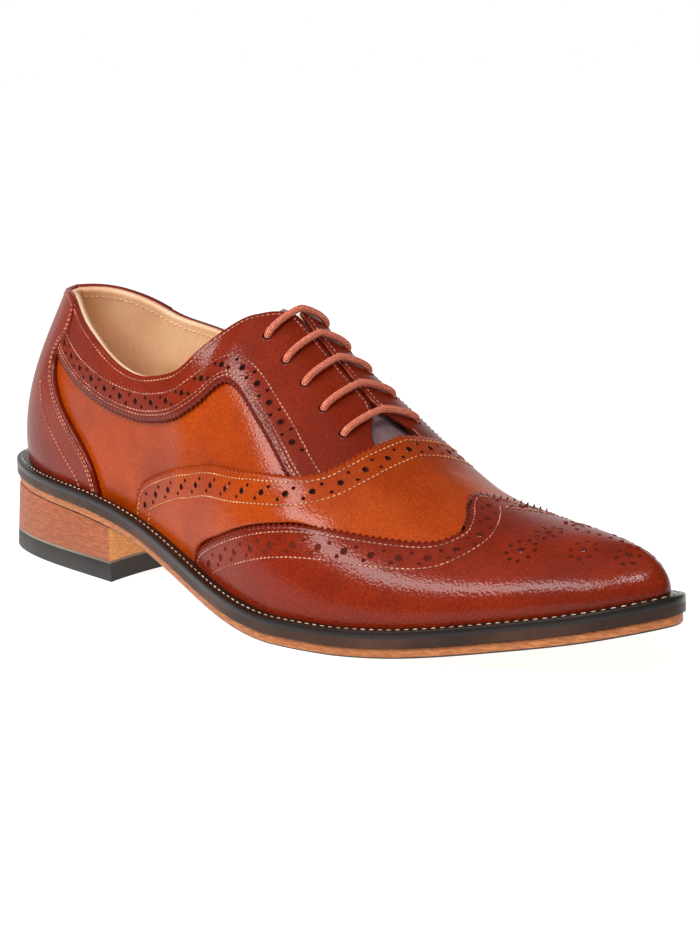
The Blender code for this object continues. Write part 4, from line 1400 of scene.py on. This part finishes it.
def seam_lines(piece, distances, height, low=0.0, high=1.0):
    """Lines on both sides of the shoe, along a share of the panel's edge."""
    found = []
    for side in SIDES:
        for distance in distances:
            line = into_panel(piece, part_of(piece, side, low, high), side, distance)
            topline = opening_climb(line[:, 0], side) - TOPLINE_MARGIN
            below = line[:, 1] < np.where(line[:, 0] < SLIT_END_TURN, topline, CREST_CLIMB)
            found.append(surface_line(line[below & (line[:, 1] > FOOT_CLIMB)], side, height))
    return found


brown_seams = (seam_lines("wing", WING_SEAMS[:1], WING_HEIGHT, 0.02)
               + seam_lines("wing", WING_SEAMS[1:], WING_HEIGHT, 0.10)
               + seam_lines("counter", COUNTER_SEAMS[:2], COUNTER_HEIGHT)
               + seam_lines("counter", COUNTER_SEAMS[2:], COUNTER_HEIGHT, 0.0, 0.62)
               + seam_lines("facing", FACING_SEAMS, FACING_HEIGHT, 0.03))
tan_seams = seam_lines("vamp", VAMP_SEAMS, VAMP_HEIGHT)


def topline_line(side, drop, height, start, stop):
    turns = np.linspace(float(turn_of(start)), float(turn_of(stop)), 420)
    line = np.stack([turns, facing_top(turns, side)], 1)
    line = inward_line(line, side, drop)
    return surface_line(line, side, height)


def topline_seams():
    found = []
    for side in SIDES:
        found.append(topline_line(side, TOPLINE_SEAM, FACING_HEIGHT, 0.136, 0.612))
        found.append(topline_line(side, TOPLINE_SEAM, COUNTER_HEIGHT, 0.0, 0.125))
    return found


brown_seams += topline_seams()
stitches_piece("stitches_brown", brown_seams, BROWN_THREAD)
stitches_piece("stitches_tan", tan_seams, TAN_THREAD)
# The dark channels are partly the pressed leather's colour and partly painted shade of the groove and needle
# holes.
groove_piece("seam_channels_pressed_and_shaded", brown_seams + tan_seams, RAW_EDGE)


def welt_stitches():
    found = []
    for turn, side in around(361):
        edge = outline_point(turn, side)[0]
        spot = outline_point(turn, side, STITCH_INSET)[0]
        found.append((*spot, float(midsole_top(edge[0])) + WELT_THICK + 0.02))
    line = np.array(found + found[:1])
    return [(line, np.tile([0.0, 0.0, 1.0], (len(line), 1)))]


stitches_piece("welt_stitches", welt_stitches(), CREAM_THREAD, length=1.8, width=0.5, pitch=2.9,
               lift=0.05)


def lining_stitches():
    found = []
    for side in SIDES:
        points, outward = topline_line(side, LINING_SEAM, QUARTER_HEIGHT - WALL, 0.0, 0.44)
        found.append((points, -outward))
    return found


stitches_piece("lining_stitches", lining_stitches(), BINDING, length=1.5, width=0.4,
               pitch=2.1)

# %% [markdown]
# Broguing is punched with hollow steel tubes: a large hole, then two small ones across the strip, again and
# again. Each hole is drawn as a dark disc of painted shade, standing in for its hollow, inside a low lip on
# the leather, all of a strip joined in one mesh.

# %% Punched holes
LARGE_R, SMALL_R = 0.85, 0.48
HOLE_SIDES = 14
HOLE_PITCH = 9.0
HOLES_FROM, HOLES_TO = 0.03, 0.992  # climbs, as no holes are punched at the welt or on the crest
HOLE_PROFILE = (
    # share of the radius, height over the leather, material: 0 the leather's lip, 1 the dark disc of painted
    # shade
    (1.45, 0.0, 0),
    (1.18, 0.17, 0),
    (0.96, 0.05, 1),
    (0.0, 0.03, 1),
)


def holes_piece(name, spots, leather, bottom=PUNCHED_HOLE_SHADE):
    """spots are (place, outward, radius) rows on the finished leather."""
    points, faces, slots, start = [], [], [], 0
    angle = np.arange(HOLE_SIDES) * 2 * math.pi / HOLE_SIDES
    for place, out, radius in spots:
        out = out / np.linalg.norm(out)
        a = np.cross(out, (0.0, 0.0, 1.0) if abs(out[2]) < 0.9 else (1.0, 0.0, 0.0))
        a /= np.linalg.norm(a)
        b = np.cross(out, a)
        for share, lift, _ in HOLE_PROFILE[:-1]:
            ring = np.cos(angle)[:, None] * a + np.sin(angle)[:, None] * b
            points.append(place + radius * share * ring + out * lift)
        points.append((place + out * HOLE_PROFILE[-1][1])[None])
        for ring in range(2):
            for k in range(HOLE_SIDES):
                m = (k + 1) % HOLE_SIDES
                base = start + ring * HOLE_SIDES
                faces.append((base + k, base + m, base + HOLE_SIDES + m, base + HOLE_SIDES + k))
                slots.append(HOLE_PROFILE[ring + 1][2])
        centre = start + 3 * HOLE_SIDES
        for k in range(HOLE_SIDES):
            faces.append((start + 2 * HOLE_SIDES + k, start + 2 * HOLE_SIDES + (k + 1) % HOLE_SIDES, centre))
            slots.append(1)
        start = centre + 1
    made = mesh_piece(name, np.concatenate(points), faces, [leather, bottom], slots, weld=False, sharp=60)
    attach(made, "root")
    print(name, len(spots), "holes")


def strip_holes(piece, middle, spread, height, low=0.0, high=1.0):
    """Large holes down the middle of a strip, and between them two small ones across it."""
    spots = []
    for side in SIDES:
        edge = part_of(piece, side, low, high)
        for offset, start, radius in ((middle, 0.5, LARGE_R), (middle - spread, 1.0, SMALL_R),
                                      (middle + spread, 1.0, SMALL_R)):
            line = into_panel(piece, edge, side, offset)
            line = line[(line[:, 1] > HOLES_FROM) & (line[:, 1] < HOLES_TO)]
            places, _, outs = every(*surface_line(line, side, height), HOLE_PITCH, start)
            spots += [(place, out, radius) for place, out in zip(places, outs)]
    return spots


vamp_holes = strip_holes("vamp", 5.4, 1.9, VAMP_HEIGHT, 0.02, 1.0)
holes_piece("punching_vamp", vamp_holes, TAN_CALF)
facing_holes = strip_holes("facing", 5.7, 1.6, FACING_HEIGHT, 0.04, 0.93)
holes_piece("punching_facings", facing_holes, BROWN_CALF)

# %% [markdown]
# The toe carries the traditional medallion: rosettes of small holes round a larger one. The pattern is laid
# flat in plan, then each hole is dropped straight down on the leather with a ray.

# %% Medallion
ROSETTES = (
    # x from the heel's back, distance from the crest's line, ring radius, holes in the ring
    (258.0, 16.8, 4.3, 9),
    (259.0, 6.2, 3.7, 8),
    (276.0, 9.4, 3.9, 8),
    (289.2, 4.4, 3.3, 7),
)
CREST_Y = ((245.0, 0.6), (268.0, 0.2), (290.0, -1.0))
CENTRE_HOLES = (264.5, 269.0, 273.5, 278.0, 282.5)
RAY_FROM = 90.0  # well over the toe


def crest_y(x):
    return float(np.interp(x, *zip(*CREST_Y)))


def medallion():
    bpy.context.view_layer.update()
    tree = BVHTree.FromObject(wing_cap, bpy.context.evaluated_depsgraph_get())
    small = SMALL_R * 1.05
    flat = []
    for x, away, radius, count in ROSETTES:
        for side in SIDES:
            y = crest_y(x) + side * away
            flat.append((x, y, LARGE_R))
            for k in range(count):
                angle = 2 * math.pi * (k + 0.5) / count
                flat.append((x + radius * math.cos(angle), y + side * radius * math.sin(angle), small))
    flat += [(x, crest_y(x), small) for x in CENTRE_HOLES]
    spots = []
    for x, y, radius in flat:
        above = to_scene((x, y, RAY_FROM))
        hit, normal, _, _ = tree.ray_cast(Vector(above), Vector((0.0, 0.0, -1.0)))
        if hit is not None:
            spots.append((np.array(hit) / MM + SHIFT, np.array(normal), radius))
    return spots


wing_holes = strip_holes("wing", 5.8, 1.9, WING_HEIGHT, 0.055, 1.0)
holes_piece("punching_wing_and_toe", wing_holes + medallion(), BROWN_CALF, PRESSED_HOLE_SHADE)

# %% [markdown]
# The laces are one cord in the real shoe. Each bar comes up through a bare punched eyelet, bows over the gap
# and goes down on the other side; the runs between bars are hidden, so each bar ends just under its eyelets.

# %% Laces and eyelets
LACE_MM = 2.35
LACE_ARCH = 0.5
LACE_LIFT = 1.15  # of the cord's middle over the last
BAR_ENDS = ((-0.015, -5.5), (-0.004, -2.2), (0.003, -0.2), (0.020, 0.95))  # climb past the eyelet, height
BAR_SHARES = (0.35, 0.6, 0.8, 0.92)  # of the way from the eyelet to the crest
EYELET_R = 1.35
CORD_SIDES = 14
CORD_STEP = 0.35


def bar_route(share, climb):
    """Middle line of one bar, from inside the outer eyelet to inside the inner one."""
    turn = float(turn_of(share))
    halves = []
    for side in SIDES:
        stops = [(climb + beyond, height) for beyond, height in BAR_ENDS]
        stops += [(climb + (1 - climb) * u, LACE_LIFT + LACE_ARCH * u**0.8) for u in BAR_SHARES]
        halves.append([raised(turn, c, side, height) for c, height in stops])
    outer, inner = halves
    return np.array(outer + [raised(turn, 1.0, 1, LACE_LIFT + LACE_ARCH * 0.8)] + inner[::-1])


def cord_piece(name, route, node):
    line = through_rows(route, 16)
    along = run_of(line)
    at = np.linspace(0, along[-1], int(along[-1] / CORD_STEP))
    line = read_at(at, along, line)
    way = unit(np.gradient(line, axis=0))
    up = np.zeros_like(way)
    up[0] = np.cross(way[0], (1.0, 0.0, 0.0))
    for i in range(1, len(way)):
        up[i] = up[i - 1] - (up[i - 1] @ way[i]) * way[i]
        up[i] /= np.linalg.norm(up[i])
    over = np.cross(way, up)
    angle = np.arange(CORD_SIDES + 1) * 2 * math.pi / CORD_SIDES
    ring = np.cos(angle)[None, :, None] * up[:, None] + np.sin(angle)[None, :, None] * over[:, None]
    grid = line[:, None] + LACE_MM / 2 * ring
    marks = {"along_mm": [np.tile(at[:, None], (1, CORD_SIDES + 1))],
             "around": [np.tile(np.linspace(0, 1, CORD_SIDES + 1)[None], (len(at), 1))]}
    made = grids_piece(name, [(grid, True)], [CORD], marks, weld=False, sharp=80)
    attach(made, "root")
    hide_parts(node)


for row, (share, climb) in enumerate(EYELETS):
    cord_piece(f"lace_{row + 1}", bar_route(share, climb), f"lace_bar_{row + 1}")


def eyelet_spots():
    spots = []
    for share, climb in EYELETS:
        turn = float(turn_of(share))
        for side in SIDES:
            place = raised(turn, climb, side, FACING_HEIGHT)
            spots.append((place, upper_normal(turn, climb, side), EYELET_R))
    return spots


# Each eyelet's dark middle is painted shade, as in the broguing.
holes_piece("eyelets_punched", eyelet_spots(), BROWN_CALF)
print("laces run through", len(EYELETS), "pairs of eyelets")
